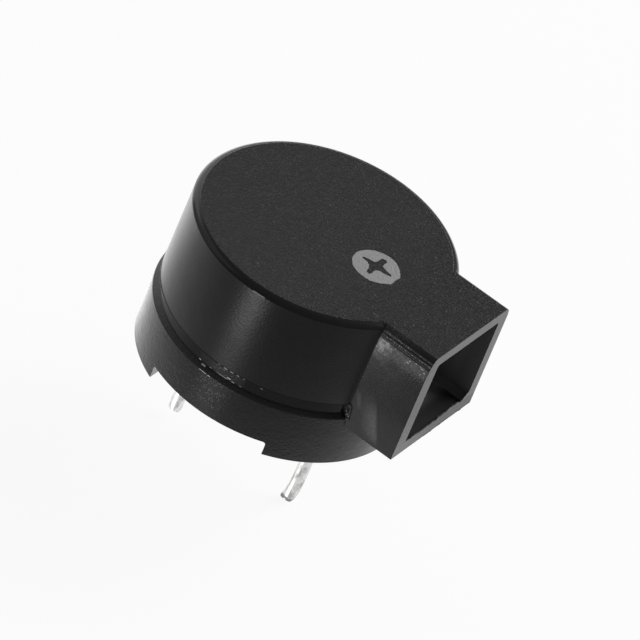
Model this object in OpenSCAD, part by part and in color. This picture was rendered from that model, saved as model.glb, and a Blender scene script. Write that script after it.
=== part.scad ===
// Magnetic buzzer for a circuit board: a round case with a rectangular sound
// duct on one side, and two wire pins below.
// The origin is on the case's axis, in the plane that its feet stand on.
// +Z points up through the top face, and +X points out of the sound duct.

/* [Base] */
// Diameter of the flange and feet
base_d = 12; // [10:0.1:14.4]
// Height of the flange's outer edge above the board that the feet stand on
flange_h = 2.5; // [2.1:0.05:3]
// Wall of the base around its bore
base_wall = 0.7; // [0.6:0.02:0.84]
// Height of the collar, which the cap stands on, above that edge
collar_h = 0.67; // [0.56:0.01:0.8]
// Width of the sloping ledge between the edge and the collar
ledge_w = 0.26; // [0.2:0.01:0.31]
// How far the ledge rises towards the collar
ledge_rise = 0.14; // [0.04:0.01:0.2]
// How far the collar leans inwards from the ledge to its top
collar_lean = 0.06; // [0:0.01:0.1]
// Height of the washing gaps between the feet
gap_h = 0.66; // [0.4:0.02:0.8]
// Width of the washing gaps
gap_w = 5.8; // [4:0.1:7]
// Distance of the gaps' middle from the axis, towards the duct
gap_shift = 0.18; // [0:0.02:0.4]

/* [Cap] */
// Height of the whole case, feet to top face
case_h = 7.55; // [6.29:0.01:9.1]
// How far the cap's rim lies inside the flange
rim_in = 0.14; // [0.1:0.01:0.2]
// How far the cap's wall leans inwards from rim to top
draft = 0.04; // [0:0.01:0.1]
// Thickness of the top wall, over the case and the duct
roof_t = 0.53; // [0.44:0.01:0.64]
// Width of the rounded band along the round case's top edge
edge_w = 0.35; // [0.3:0.01:0.4]
// Rounding of that band, which meets the wall in a crease where it's more than the width
edge_r = 0.4; // [0.36:0.01:0.5]
// Height of the spigot that centres the cap in the base
spigot_h = 0.67; // [0.56:0.01:0.8]
// Thickness of that spigot
spigot_t = 0.4; // [0.3:0.02:0.5]

/* [Sound duct] */
// Outer width of the duct
duct_w = 6.08; // [5:0.02:7.3]
// How far the duct's mouth stands out past the flange
duct_out = 1.64; // [1:0.02:2.4]
// How far the duct's underside lies below the flange's outer edge
duct_sink = 0.39; // [0.2:0.01:0.5]
// Thickness of the duct's side walls
duct_side_t = 0.7; // [0.5:0.02:0.9]
// Thickness of the duct's floor
duct_floor_t = 0.6; // [0.4:0.02:0.8]
// Rounding of the duct's upper edges
duct_edge_r = 0.35; // [0.1:0.01:0.42]
// Wall between the duct's lower part and the inner works
screen_t = 0.45; // [0.3:0.02:0.6]

/* [Polarity mark] */
// Diameter of the printed disc
mark_d = 2.08; // [1.5:0.02:2.6]
// Distance of the disc's middle from the case's axis
mark_x = 2.6; // [2:0.05:3.2]
// Sideways offset of the print
mark_y = -0.05; // [-0.2:0.01:0.2]
// Thickness of the ink
mark_t = 0.03; // [0.02:0.01:0.05]
// Length of the plus, tip to tip
plus_l = 1.46; // [1.1:0.02:1.48]
// Width of the plus's arms where they cross
plus_w = 0.34; // [0.2:0.02:0.5]
// Width of the plus's arms at their tips
plus_tip_w = 0.2; // [0.1:0.02:0.3]

/* [Pins] */
// Diameter of the pins
pin_d = 0.6; // [0.5:0.02:0.72]
// Distance between the pins' axes
pin_pitch = 6.5; // [5.4:0.1:7.8]
// How far the pins reach below the feet
pin_reach = 5.3; // [4.4:0.1:6.4]
// How far the pins' heads, inside the case, stand out around the wire
pin_head_w = 0.2; // [0.1:0.02:0.24]
// How deep the wire runs into the resin before its head begins
pin_sink = 0.1; // [0.05:0.01:0.2]

/* [Magnetic drive] */
// Thickness of the yoke plate
yoke_t = 0.6; // [0.5:0.02:0.72]
// Height of the ring magnet
magnet_h = 1.6; // [1.3:0.05:1.95]
// Wall of the ring magnet, bore to outside
magnet_wall = 1; // [0.8:0.05:1.2]
// Wall of the support ring beside the magnet
ring_t = 0.2; // [0.15:0.01:0.25]
// Height of the support ring's seat above the magnet
seat_h = 0.2; // [0.15:0.01:0.3]
// Height of the rim that centres the diaphragm
rim_h = 0.15; // [0.1:0.01:0.2]
// Thickness of the diaphragm
diaphragm_t = 0.06; // [0.04:0.01:0.08]
// Air gap between the core and the diaphragm
air_gap = 0.15; // [0.1:0.01:0.18]
// Diameter of the armature disc
armature_d = 4.4; // [3.6:0.1:5.3]
// Thickness of the armature disc
armature_t = 0.3; // [0.2:0.02:0.4]
// Diameter of the pole core
core_d = 2.2; // [1.8:0.05:2.6]
// Diameter of the core's riveted tail
core_tail_d = 1.5; // [1.2:0.05:1.7]

/* [Coil] */
// Gap between the coil and the magnet, where the leads run down
coil_gap = 0.5; // [0.45:0.01:0.6]
// Thickness of the bobbin's tube and flanges
bobbin_t = 0.2; // [0.15:0.01:0.25]
// Depth of the feedback winding, over the drive winding
sense_t = 0.3; // [0.2:0.02:0.4]
// How far the windings stay inside the bobbin's flanges
wind_in = 0.1; // [0.05:0.01:0.15]
// Diameter of the lead wires
lead_d = 0.12; // [0.08:0.01:0.16]

/* [Circuit] */
// Thickness of the circuit board
board_t = 0.5; // [0.4:0.02:0.6]
// Length of the transistor's body
transistor_l = 2.9; // [2.4:0.1:3.1]
// Width of the transistor's body
transistor_w = 1.3; // [1.1:0.05:1.4]
// Height of the transistor's body
transistor_h = 0.9; // [0.7:0.05:0.95]
// Distance of the transistor from the board's middle
transistor_y = 2.45; // [2.4:0.05:2.6]
// Length of the diode's body
diode_l = 1.7; // [1.4:0.05:2]
// Width of the diode's body
diode_w = 1.25; // [1:0.05:1.3]
// Height of the diode's body
diode_h = 0.85; // [0.6:0.05:0.95]
// Distance of the diode from the board's middle
diode_y = -0.35; // [-0.4:0.01:-0.3]
// Length of the resistor
resistor_l = 1.6; // [1.3:0.05:1.6]
// Width of the resistor
resistor_w = 0.8; // [0.6:0.02:0.8]
// Height of the resistor
resistor_h = 0.45; // [0.3:0.02:0.55]
// Distance of the resistor from the board's middle
resistor_y = -1.5; // [-1.55:0.01:-1.45]
// Width of a pin's solder joint at the board, around the pin's head
solder_w = 0.25; // [0.1:0.01:0.3]
// Height of a pin's solder joint
solder_h = 0.45; // [0.3:0.01:0.6]
// Radius of a lead's solder joint at the board
lead_solder_r = 0.2; // [0.15:0.01:0.22]

/* [Clearances] */
// Radial gap between round pieces that drop into each other
fit_gap = 0.05; // [0.03:0.01:0.08]
// Gap between the pins' heads and the yoke plate, which must not join them
yoke_clear = 0.15; // [0.1:0.01:0.25]
// Gap around the duct in the base's notch
notch_gap = 0.08; // [0.04:0.01:0.15]
// How far the resin stays above the washing gaps
seal_lift = 0.1; // [0.05:0.01:0.2]

/* [Hidden] */
$fn = 96;

// Radii, from the flange inwards
base_r = base_d / 2;
bore_r = base_r - base_wall;
spigot_r = bore_r - fit_gap;
cap_bore_r = spigot_r - spigot_t;
collar_r = base_r - ledge_w;
rim_r = base_r - rim_in;
top_r = rim_r - draft;
ring_r = cap_bore_r - fit_gap;
ring_bore_r = ring_r - ring_t;
magnet_r = ring_bore_r - fit_gap;
magnet_bore_r = magnet_r - magnet_wall;
coil_r = magnet_bore_r - coil_gap;
core_r = core_d / 2;
tube_r = core_r + bobbin_t;
wound_r = coil_r - wind_in;
drive_r = wound_r - sense_t;
lead_path_r = magnet_bore_r - coil_gap / 2;
screen_r = cap_bore_r + screen_t;

// Heights above the feet, from the board upwards
collar_z = flange_h + collar_h;
board_top_z = collar_z - spigot_h;
board_z = board_top_z - board_t;
yoke_top_z = board_top_z + yoke_t;
magnet_top_z = yoke_top_z + magnet_h;
seat_z = magnet_top_z + seat_h;
rim_z = seat_z + rim_h;
core_top_z = seat_z - air_gap;
armature_z = seat_z + diaphragm_t;
bobbin_top_z = magnet_top_z - fit_gap;
wind_z = yoke_top_z + bobbin_t;
wind_top_z = bobbin_top_z - bobbin_t;
ceiling_z = case_h - roof_t;
seal_z = gap_h + seal_lift;

// The duct
mouth_x = base_r + duct_out;
duct_z = flange_h - duct_sink;
duct_floor_z = duct_z + duct_floor_t;
window_z = rim_z + fit_gap;
passage_w = duct_w - 2 * duct_side_t;

// Pins and leads
pin_r = pin_d / 2;
pin_x = pin_pitch / 2;
pin_top_z = board_top_z - yoke_clear;
pin_head_z = seal_z + pin_sink;
pin_head_r = pin_r + pin_head_w;
board_hole_r = pin_head_r + fit_gap;
solder_r = pin_head_r + solder_w;
lead_r = lead_d / 2;
lead_z = wind_z + lead_d;
lead_angles = [235, 255, 275];
yoke_hole_r = coil_gap / 2;
lead_solder_h = lead_solder_r;

// Connections of the small parts
tab_t = 0.12;
tab_w = 0.4;
tab_out = 0.5;
tab_pitch = 1.9;

// Overlap that lets a cut pass cleanly through a face
over = 1;

// A ring between two radii, standing on z
module ring(inner, outer, z, h) {
  translate([0, 0, z])
    rotate_extrude()
      translate([inner, 0])
        square([outer - inner, h]);
}

// A block centred on the duct's line in y, from x0 to x1 and z0 to z1
module duct_block(x0, x1, w, z0, z1) {
  translate([x0, -w / 2, z0])
    cube([x1 - x0, w, z1 - z0]);
}

// A box with its middle at [x, y] that hangs down from the board
module under_board(x, y, size) {
  translate([x - size[0] / 2, y - size[1] / 2, board_z - size[2]])
    cube(size);
}

// Places its children at each lead's path through the works
module at_leads() {
  for (angle = lead_angles)
    rotate([0, 0, angle])
      translate([lead_path_r, 0, 0])
        children();
}

// Outline of the round case, from axis to wall, with its rounded top edge
module case_outline() {
  polygon([[0, collar_z], [rim_r, collar_z], [top_r, case_h - edge_r], [0, case_h - edge_r]]);
  translate([0, case_h - edge_r - over])
    square([top_r - edge_w, edge_r + over]);
  intersection() {
    translate([top_r - edge_w, case_h - edge_r])
      circle(edge_r);
    translate([0, case_h - edge_r - over])
      square([top_r, edge_r + over]);
  }
}

// End view of the duct: square below, with rounded upper edges
module duct_outline() {
  shoulder = duct_w / 2 - duct_edge_r;
  translate([-duct_w / 2, duct_z])
    square([duct_w, case_h - duct_edge_r - duct_z]);
  translate([-shoulder, duct_z])
    square([2 * shoulder, case_h - duct_z]);
  for (side = [-1, 1])
    translate([side * shoulder, case_h - duct_edge_r])
      circle(duct_edge_r);
}

// The air path of the duct: all of the mouth, then a window above the inner works
module passage() {
  difference() {
    duct_block(0, mouth_x + over, passage_w, duct_floor_z, ceiling_z);
    translate([0, 0, duct_floor_z - over])
      cylinder(r = screen_r, h = window_z - duct_floor_z + over);
  }
  duct_block(0, mouth_x, passage_w, window_z, ceiling_z);
}

module cap() {
  color("#2b2b2b")
    difference() {
      union() {
        rotate_extrude()
          case_outline();
        rotate([90, 0, 90])
          linear_extrude(mouth_x)
            duct_outline();
        ring(cap_bore_r, spigot_r, board_top_z, spigot_h);
      }
      translate([0, 0, board_top_z - over])
        cylinder(r = cap_bore_r, h = ceiling_z - board_top_z + over);
      translate([0, 0, duct_z - over])
        cylinder(r = bore_r, h = board_top_z - duct_z + over);
      passage();
    }
}

// Outline of the base, from its bore to the flange, with the sloping ledge and the collar
module base_outline() {
  polygon([[bore_r, 0], [base_r, 0], [base_r, flange_h], [collar_r, flange_h + ledge_rise],
           [collar_r - collar_lean, collar_z], [bore_r, collar_z]]);
}

module base() {
  color("#333333")
    difference() {
      rotate_extrude()
        base_outline();
      translate([gap_shift - gap_w / 2, -base_r - over, -over])
        cube([gap_w, 2 * (base_r + over), gap_h + over]);
      duct_block(0, base_r + over, duct_w + 2 * notch_gap, duct_z - notch_gap, collar_z + over);
    }
}

// One arm of the plus, from its middle to a tip along +X
module plus_arm() {
  polygon([[0, plus_w / 2], [0, -plus_w / 2], [plus_l / 2, -plus_tip_w / 2], [plus_l / 2, plus_tip_w / 2]]);
}

module polarity_mark() {
  color("#b8b8b8")
    translate([mark_x, mark_y, case_h])
      linear_extrude(mark_t)
        difference() {
          circle(d = mark_d);
          for (turn = [0:90:270])
            rotate(turn)
              plus_arm();
        }
}

// A wire pin on the duct's line, at x, with a thicker head that the resin and the board hold
module pin(x) {
  color("#d6d6d6") {
    translate([x, 0, -pin_reach])
      cylinder(r = pin_r, h = pin_reach + pin_head_z);
    translate([x, 0, pin_head_z])
      cylinder(r = pin_head_r, h = pin_top_z - pin_head_z);
  }
}

module positive_pin() {
  pin(pin_x);
}

module negative_pin() {
  pin(-pin_x);
}

module diaphragm() {
  color("#9da0a3")
    translate([0, 0, seat_z])
      cylinder(r = ring_bore_r - fit_gap, h = diaphragm_t);
}

module armature() {
  color("#7d8084")
    translate([0, 0, armature_z])
      cylinder(d = armature_d, h = armature_t);
}

// The support ring: a sleeve around the magnet, a seat over it and a low rim
module support_ring() {
  color("#c9c4b4") {
    ring(ring_bore_r, ring_r, yoke_top_z, rim_z - yoke_top_z);
    ring(magnet_r - magnet_wall / 2, ring_bore_r, magnet_top_z, seat_h);
  }
}

module magnet() {
  color("#3c3d40")
    ring(magnet_bore_r, magnet_r, yoke_top_z, magnet_h);
}

module yoke_plate() {
  color("#8c8f93")
    difference() {
      ring(core_tail_d / 2, ring_r, board_top_z, yoke_t);
      at_leads()
        translate([0, 0, board_top_z - over])
          cylinder(r = yoke_hole_r, h = yoke_t + 2 * over);
    }
}

module pole_core() {
  color("#85888c") {
    translate([0, 0, board_top_z])
      cylinder(d = core_tail_d, h = yoke_t);
    translate([0, 0, yoke_top_z])
      cylinder(r = core_r, h = core_top_z - yoke_top_z);
  }
}

module bobbin() {
  color("#e9e4d4") {
    ring(core_r, tube_r, yoke_top_z, bobbin_top_z - yoke_top_z);
    ring(core_r, coil_r, yoke_top_z, bobbin_t);
    ring(core_r, coil_r, wind_top_z, bobbin_t);
  }
}

module drive_winding() {
  color("#a5562a")
    ring(tube_r, drive_r, wind_z, wind_top_z - wind_z);
}

module sense_winding() {
  color("#b4662f")
    ring(drive_r, wound_r, wind_z, wind_top_z - wind_z);
}

// Each lead leaves the winding just above the flange, then drops through the works
module coil_leads() {
  color("#b4662f")
    difference() {
      at_leads() {
        translate([0, 0, board_z])
          cylinder(r = lead_r, h = lead_z - board_z);
        translate([-lead_path_r, 0, lead_z])
          rotate([0, 90, 0])
            cylinder(r = lead_r, h = lead_path_r);
        translate([0, 0, lead_z])
          sphere(r = lead_r);
      }
      translate([0, 0, yoke_top_z])
        cylinder(r = wound_r, h = magnet_h);
    }
}

module circuit_board() {
  color("#a3824f")
    difference() {
      translate([0, 0, board_z])
        cylinder(r = spigot_r, h = board_t);
      for (side = [-1, 1])
        translate([side * pin_x, 0, board_z - over])
          cylinder(r = board_hole_r, h = board_t + 2 * over);
      at_leads()
        translate([0, 0, board_z - over])
          cylinder(r = lead_r + fit_gap, h = board_t + 2 * over);
    }
}

// One flat tab of a transistor or diode, centred at [x, y]
module tab(x, y, size_x, size_y) {
  under_board(x, y, [size_x, size_y, tab_t]);
}

module transistor() {
  color("#262626") {
    under_board(0, transistor_y, [transistor_l, transistor_w, transistor_h]);
    for (x = [-tab_pitch / 2, tab_pitch / 2])
      tab(x, transistor_y - transistor_w / 2 - tab_out / 2, tab_w, tab_out);
    tab(0, transistor_y + transistor_w / 2 + tab_out / 2, tab_w, tab_out);
  }
}

module diode() {
  color("#2e2e2e") {
    under_board(0, diode_y, [diode_l, diode_w, diode_h]);
    for (side = [-1, 1])
      tab(side * (diode_l + tab_w) / 2, diode_y, tab_w, tab_w);
  }
}

module resistor() {
  color("#1f1f22")
    under_board(0, resistor_y, [resistor_l, resistor_w, resistor_h]);
}

// The outside of a pin's solder joint: a cone that widens to the board
module joint_cone(x) {
  translate([x, 0, board_z - solder_h])
    cylinder(r1 = pin_head_r + fit_gap, r2 = solder_r, h = solder_h);
}

// The solder joint itself, around its pin
module pin_solder(x) {
  color("#c9c9c9")
    difference() {
      joint_cone(x);
      pin(x);
    }
}

module positive_solder() {
  pin_solder(pin_x);
}

module negative_solder() {
  pin_solder(-pin_x);
}

module lead_solder() {
  color("#c9c9c9")
    at_leads()
      translate([0, 0, board_z - lead_solder_h])
        cylinder(r1 = lead_r, r2 = lead_solder_r, h = lead_solder_h);
}

// The resin fills the bore below the board and takes the shape of all that hangs there
module resin_seal() {
  color("#4a3a22")
    difference() {
      translate([0, 0, seal_z])
        cylinder(r = bore_r, h = board_z - seal_z);
      for (x = [-pin_x, pin_x]) {
        pin(x);
        joint_cone(x);
      }
      transistor();
      diode();
      resistor();
      lead_solder();
    }
}

cap();
base();
polarity_mark();
positive_pin();
negative_pin();
diaphragm();
armature();
support_ring();
magnet();
yoke_plate();
pole_core();
bobbin();
drive_winding();
sense_winding();
coil_leads();
circuit_board();
transistor();
diode();
resistor();
positive_solder();
negative_solder();
lead_solder();
resin_seal();
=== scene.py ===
# %% [markdown]
# # A magnetic buzzer with a side sound duct
#
# The real object is a sounder for a circuit board, 12 mm across: a round black case with a
# rectangular duct that lets the sound out sideways, two tinned wire pins below, and a plus
# printed on top beside the positive pin. The exact CAD part is loaded first as a fixed frame.
# The visible mouldings, print, resin and pins are then modelled around it with more detail,
# and each is given a finish of its own.

# %% Load the frame
import math
import random

import bmesh
import bpy
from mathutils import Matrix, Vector


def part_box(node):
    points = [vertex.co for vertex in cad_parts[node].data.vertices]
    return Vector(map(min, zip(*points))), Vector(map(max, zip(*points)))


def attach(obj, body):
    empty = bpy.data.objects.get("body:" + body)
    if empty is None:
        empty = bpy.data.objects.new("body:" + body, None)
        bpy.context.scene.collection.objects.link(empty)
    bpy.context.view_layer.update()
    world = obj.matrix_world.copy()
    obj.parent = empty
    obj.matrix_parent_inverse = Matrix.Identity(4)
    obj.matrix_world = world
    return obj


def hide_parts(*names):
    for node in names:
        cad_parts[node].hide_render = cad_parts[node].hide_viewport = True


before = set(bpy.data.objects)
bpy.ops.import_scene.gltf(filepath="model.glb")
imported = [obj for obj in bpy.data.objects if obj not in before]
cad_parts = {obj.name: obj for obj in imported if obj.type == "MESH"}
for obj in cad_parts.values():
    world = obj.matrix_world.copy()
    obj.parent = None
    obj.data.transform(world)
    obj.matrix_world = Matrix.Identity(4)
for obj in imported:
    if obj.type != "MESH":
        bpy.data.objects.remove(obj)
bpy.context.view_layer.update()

# %% [markdown]
# ## Sizes
#
# The script can't read the part's source, so the sizes that the pieces share are stated here
# once, in millimetres, and the CAD boxes of four parts are printed beside them. Each piece is
# drawn in millimetres, because Blender's merging and bevelling distances suit pieces of a few
# units, and is brought to metres when it is finished.

# %% Sizes in millimetres
MM = 0.001

BASE_R = 6.0
BORE_R = 5.3
COLLAR_R = 5.74
RIM_R = 5.86
CAP_R = 5.82
FLANGE_Z = 2.50
LEDGE_Z = 2.64
COLLAR_Z = 3.17
TOP_Z = 7.55
CEILING_Z = 7.02

DUCT_W = 6.08
MOUTH_X = 7.64
DUCT_Z = 2.11
FLOOR_Z = 2.60
SCREEN_R = 5.3
WINDOW_Z = 5.10

PIN_X = 3.25
PIN_R = 0.3
PIN_Z = -5.3
SEAL_Z = 0.76

for node in ("cap", "base", "positive_pin", "resin_seal"):
    low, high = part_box(node)
    print(node, [round(c / MM, 2) for c in low], [round(c / MM, 2) for c in high])

# %% [markdown]
# ## Camera
#
# The object fills less than half of the view and is seen from far away with a long lens, from
# the front and well above, with the picture turned so that the duct points down to the right.
# The camera's place and its two axes are given straight, which is the safest way to turn a view.

# %% Camera
view_place = Vector((113.932, -300.682, 243.665)) * MM
view_right = Vector((0.77910, 0.54269, 0.31382)).normalized()
view_up = Vector((-0.56036, 0.37843, 0.73674))
view_back = view_right.cross(view_up).normalized()
view_up = view_back.cross(view_right)

lens_data = bpy.data.cameras.new("view")
lens_data.sensor_width = 36
lens_data.lens = 542.44
lens_data.clip_start = 0.01
lens_data.clip_end = 20
camera = bpy.data.objects.new("view", lens_data)
bpy.context.scene.collection.objects.link(camera)
turn = camera.matrix_world.to_3x3()
for row in range(3):
    turn[row] = (view_right[row], view_up[row], view_back[row])
camera.matrix_world = turn.to_4x4()
camera.location = view_place
bpy.context.scene.camera = camera
bpy.context.scene.view_settings.view_transform = "Standard"
print("camera at", [round(c, 4) for c in camera.location], "lens", lens_data.lens)

# %% [markdown]
# ## Drawing by hand, in code
#
# Everything below is drawn with the same few moves that a person makes in Blender's edit mode:
# put down a point, extrude it along an outline, spin or extrude the outline into a solid, cut one
# solid with another, and bevel the edges. An operator acts on all that is selected, so each move
# starts by deselecting everything.

# %% Modes and selection
def mode(name):
    """Switches between OBJECT and EDIT mode."""
    bpy.ops.object.mode_set(mode=name)


def only(piece):
    """Selects one object and nothing else."""
    if bpy.context.object and bpy.context.object.mode != "OBJECT":
        mode("OBJECT")
    bpy.ops.object.select_all(action="DESELECT")
    piece.select_set(True)
    bpy.context.view_layer.objects.active = piece


def named(piece, name):
    """Names a fresh primitive and its mesh."""
    piece.name = name
    piece.data.name = name
    return piece


print("moves that choose what is worked on: mode, only, named")

# %% [markdown]
# ## From an outline to a solid
#
# A turned or moulded shape is one outline that was spun or pulled. The outline is drawn first, by
# extruding a single vertex from point to point. Spinning it gives a round solid, and filling and
# extruding it gives a straight one. A spin leaves doubled points where it closes, and either
# solid may come out inside out. So points are merged and faces turned outwards afterwards.

# %% Outlines, spun solids and pulled solids
def arc(centre, radii, start, end, steps):
    """Points on an ellipse's arc, in degrees, with both ends."""
    turns = [math.radians(start + (end - start) * i / steps) for i in range(steps + 1)]
    return [(centre[0] + radii[0] * math.cos(t), centre[1] + radii[1] * math.sin(t)) for t in turns]


def outline(name, points):
    """A chain of edges through the points, drawn by extruding one vertex along it."""
    bpy.ops.object.select_all(action="DESELECT")
    bpy.ops.mesh.primitive_plane_add(size=0.01, location=points[0])
    piece = named(bpy.context.object, name)
    bpy.ops.object.transform_apply(location=True, rotation=True, scale=True)
    mode("EDIT")
    bpy.ops.mesh.select_mode(type="VERT")
    bpy.ops.mesh.select_all(action="SELECT")
    bpy.ops.mesh.merge(type="CENTER")
    for here, there in zip(points, points[1:]):
        step = Vector(there) - Vector(here)
        bpy.ops.mesh.extrude_vertices_move(TRANSFORM_OT_translate={"value": step})
    mode("OBJECT")
    return piece


def close_up(piece, reach=0.0005):
    """Merges doubles within reach and turns every face outwards."""
    only(piece)
    mode("EDIT")
    bpy.ops.mesh.select_all(action="SELECT")
    bpy.ops.mesh.remove_doubles(threshold=reach)
    bpy.ops.mesh.normals_make_consistent(inside=False)
    mode("OBJECT")
    return piece


def lathe(name, profile, steps=192):
    """A solid spun from (radius, height) points that start and end on the axis, or close on themselves."""
    piece = outline(name, [(r, 0, z) for r, z in profile])
    only(piece)
    mode("EDIT")
    bpy.ops.mesh.select_all(action="SELECT")
    bpy.ops.mesh.spin(steps=steps, angle=2 * math.pi, center=(0, 0, 0), axis=(0, 0, 1))
    mode("OBJECT")
    return close_up(piece)


def prism(name, points, reach):
    """A solid that is one closed outline pulled along the vector reach."""
    piece = outline(name, points)
    only(piece)
    mode("EDIT")
    bpy.ops.mesh.select_all(action="SELECT")
    bpy.ops.mesh.edge_face_add()
    bpy.ops.mesh.select_all(action="SELECT")
    bpy.ops.mesh.extrude_region_move(TRANSFORM_OT_translate={"value": reach})
    mode("OBJECT")
    return close_up(piece)


print("moves that make a solid: outline, lathe, prism, close_up")

# %% [markdown]
# ## Cutting, rounding and shading
#
# Holes are cut with a Boolean, which is the surest way to get a clean opening in a closed solid.
# The Boolean's object is removed as soon as it has done its work. Rounds come from a bevel. Last
# comes the shading: gentle angles are shaded smooth, and weighted normals keep large flat faces
# flat beside small rounds. A face of almost no width upsets those normals, so such slivers are
# joined to their neighbours first.

# %% Booleans, bevels, slivers and shading
def combine(piece, other, how):
    """Joins or cuts two solids: how is UNION or DIFFERENCE."""
    only(piece)
    step = piece.modifiers.new("combine", "BOOLEAN")
    step.operation = how
    step.solver = "EXACT"
    step.object = other
    bpy.ops.object.modifier_apply(modifier=step.name)
    bpy.data.objects.remove(other)
    return piece


def soften(piece, width, segments=2, angle=40):
    """Rounds every edge sharper than the angle, as a mould does."""
    only(piece)
    step = piece.modifiers.new("soften", "BEVEL")
    step.width = width
    step.segments = segments
    step.limit_method = "ANGLE"
    step.angle_limit = math.radians(angle)
    step.miter_outer = "MITER_ARC"
    bpy.ops.object.modifier_apply(modifier=step.name)
    return piece


def drop_slivers(piece, width=0.00002, most=100):
    """Joins each face of almost no width to the face across its longest edge."""
    mesh = bmesh.new()
    mesh.from_mesh(piece.data)
    count = 0
    while count < most:
        rows = [(max(f.edges, key=lambda e: e.calc_length()), f.calc_area()) for f in mesh.faces]
        thin = [edge for edge, area in rows if area < width * edge.calc_length()]
        if not thin:
            break
        bmesh.ops.dissolve_edges(mesh, edges=[thin[0]], use_verts=False, use_face_split=False)
        count += 1
    mesh.to_mesh(piece.data)
    mesh.free()
    print(piece.name, "slivers joined:", count)


def smooth(piece, angle=32):
    """Shades the rounded walls smooth and keeps flat faces flat."""
    only(piece)
    bpy.ops.object.shade_smooth_by_angle(angle=math.radians(angle))
    step = piece.modifiers.new("weigh", "WEIGHTED_NORMAL")
    step.keep_sharp = True
    step.weight = 50
    bpy.ops.object.modifier_apply(modifier=step.name)
    return piece


def measure(piece, unit=1.0):
    """Prints a piece's size and volume in millimetres, its triangles and whether it is closed."""
    probe = bmesh.new()
    probe.from_mesh(piece.data)
    open_edges = sum(1 for e in probe.edges if len(e.link_faces) != 2)
    triangles = sum(len(f.verts) - 2 for f in probe.faces)
    volume = round(probe.calc_volume(signed=True) / unit**3, 2)
    probe.free()
    size = [round(d / unit, 3) for d in piece.dimensions]
    print(piece.name, size, "mm,", volume, "mm3,", triangles, "triangles,", open_edges, "open edges")


print("moves that change a solid: combine, soften, drop_slivers, smooth, and measure to check it")

# %% [markdown]
# ## The round case
#
# On the real object the cap is one black moulding: a drum closed at the top. Its top edge isn't
# a full quarter round: the round meets the wall in a faint crease, where the two halves of the
# mould met, and the wall leans in by half a degree so that the drum slides out of its mould.
# Its rim ends in a tiny lip, which draws the seam as a thin dark line. A drum could be a
# cylinder with a bevel. Spinning a profile is better here, because the lip, the crease, the
# round and the spigot inside the base are then one outline whose sizes can be read.

# %% Spin the round case
EDGE_R = 0.4
EDGE_IN = 0.35
CREASE = math.degrees(math.acos(EDGE_IN / EDGE_R))
EDGE_Z = TOP_Z - EDGE_R + EDGE_R * math.sin(math.radians(CREASE))
SPIGOT_R = 5.25
SPIGOT_Z = 2.5
LIP = 0.02
CREASE_STEP = 0.012

case_profile = (
    [(0, SPIGOT_Z), (SPIGOT_R, SPIGOT_Z), (SPIGOT_R, COLLAR_Z)]
    + [(RIM_R + LIP / 2, COLLAR_Z), (RIM_R + LIP, COLLAR_Z + LIP / 2), (RIM_R + LIP, COLLAR_Z + LIP)]
    + [(RIM_R, COLLAR_Z + 2.2 * LIP), (CAP_R, EDGE_Z - CREASE_STEP)]
    + arc((CAP_R - EDGE_IN, TOP_Z - EDGE_R), (EDGE_R, EDGE_R), CREASE + 2, 90, 10)
    + [(0, TOP_Z)]
)
cap = lathe("cap_moulding", case_profile)
measure(cap)

# %% [markdown]
# ## The sound duct
#
# The duct is a rectangular tube on the side of the case. Its upper edges aren't plain rounds:
# each is taller than it is wide, and the near one keeps fine ridges along it from the tool
# that cut the mould. So its end view is drawn as an outline, with the ridges as shallow
# notches in the round, and pulled out along X.

# %% Draw the duct's end view
HALF_W = DUCT_W / 2
NEAR_ROUND = (0.38, 1.30)
FAR_ROUND = (0.30, 0.60)
FAR_DRAFT = 0.08
RIDGES = (7.02, 7.11, 7.24, 7.42)
NOTCH = 0.014


def near_round():
    """The near upper edge, from the side wall up to the top, with a notch at each ridge."""
    cy, cz = -HALF_W + NEAR_ROUND[0], TOP_Z - NEAR_ROUND[1]
    turns = [180 - 90 * i / 12 for i in range(13)]
    ridge_turns = [180 - math.degrees(math.asin((z - cz) / NEAR_ROUND[1])) for z in RIDGES]
    points = []
    for t in sorted(turns + ridge_turns, reverse=True):
        y, z = arc((cy, cz), NEAR_ROUND, t, t, 1)[0]
        if t not in ridge_turns:
            if min(abs(z - r) for r in RIDGES) > 2 * NOTCH:
                points.append((y, z))
            continue
        turn = math.radians(t)
        along = Vector((math.sin(turn) * NEAR_ROUND[0], -math.cos(turn) * NEAR_ROUND[1])).normalized()
        into = Vector((along[1], -along[0]))
        for step in (-along, into, along):
            points.append((y + NOTCH * step[0], z + NOTCH * step[1]))
    return points


duct_end = (
    [(-HALF_W, DUCT_Z)]
    + near_round()
    + arc((HALF_W - FAR_ROUND[0], TOP_Z - FAR_ROUND[1]), FAR_ROUND, 90, 0, 10)
    + [(HALF_W + FAR_DRAFT, DUCT_Z)]
)
duct = prism("duct", [(0, y, z) for y, z in duct_end], (MOUTH_X, 0, 0))
measure(duct)
combine(cap, duct, "UNION")
measure(cap)

# %% [markdown]
# ## The hollow corners
#
# Where the duct leaves the drum, the mould has a small concave fillet on each side, so that the
# plastic flows and the corner doesn't crack. A bevel on the joint's edge would be the usual way,
# but that edge runs through the rounded top. So the fillet is a thin solid of its own: its
# outline in plan is extruded upwards in steps, and each step slides inwards as the duct's
# upper edge curves away.

# %% Fill the two corners
ROOT_R = 0.21
ROOT_X = math.sqrt((CAP_R + ROOT_R) ** 2 - (HALF_W + ROOT_R) ** 2)
INSIDE_CASE = [(4.55, 2.9), (ROOT_X, HALF_W - 0.25)]
CORNER_STEPS = 8


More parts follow.
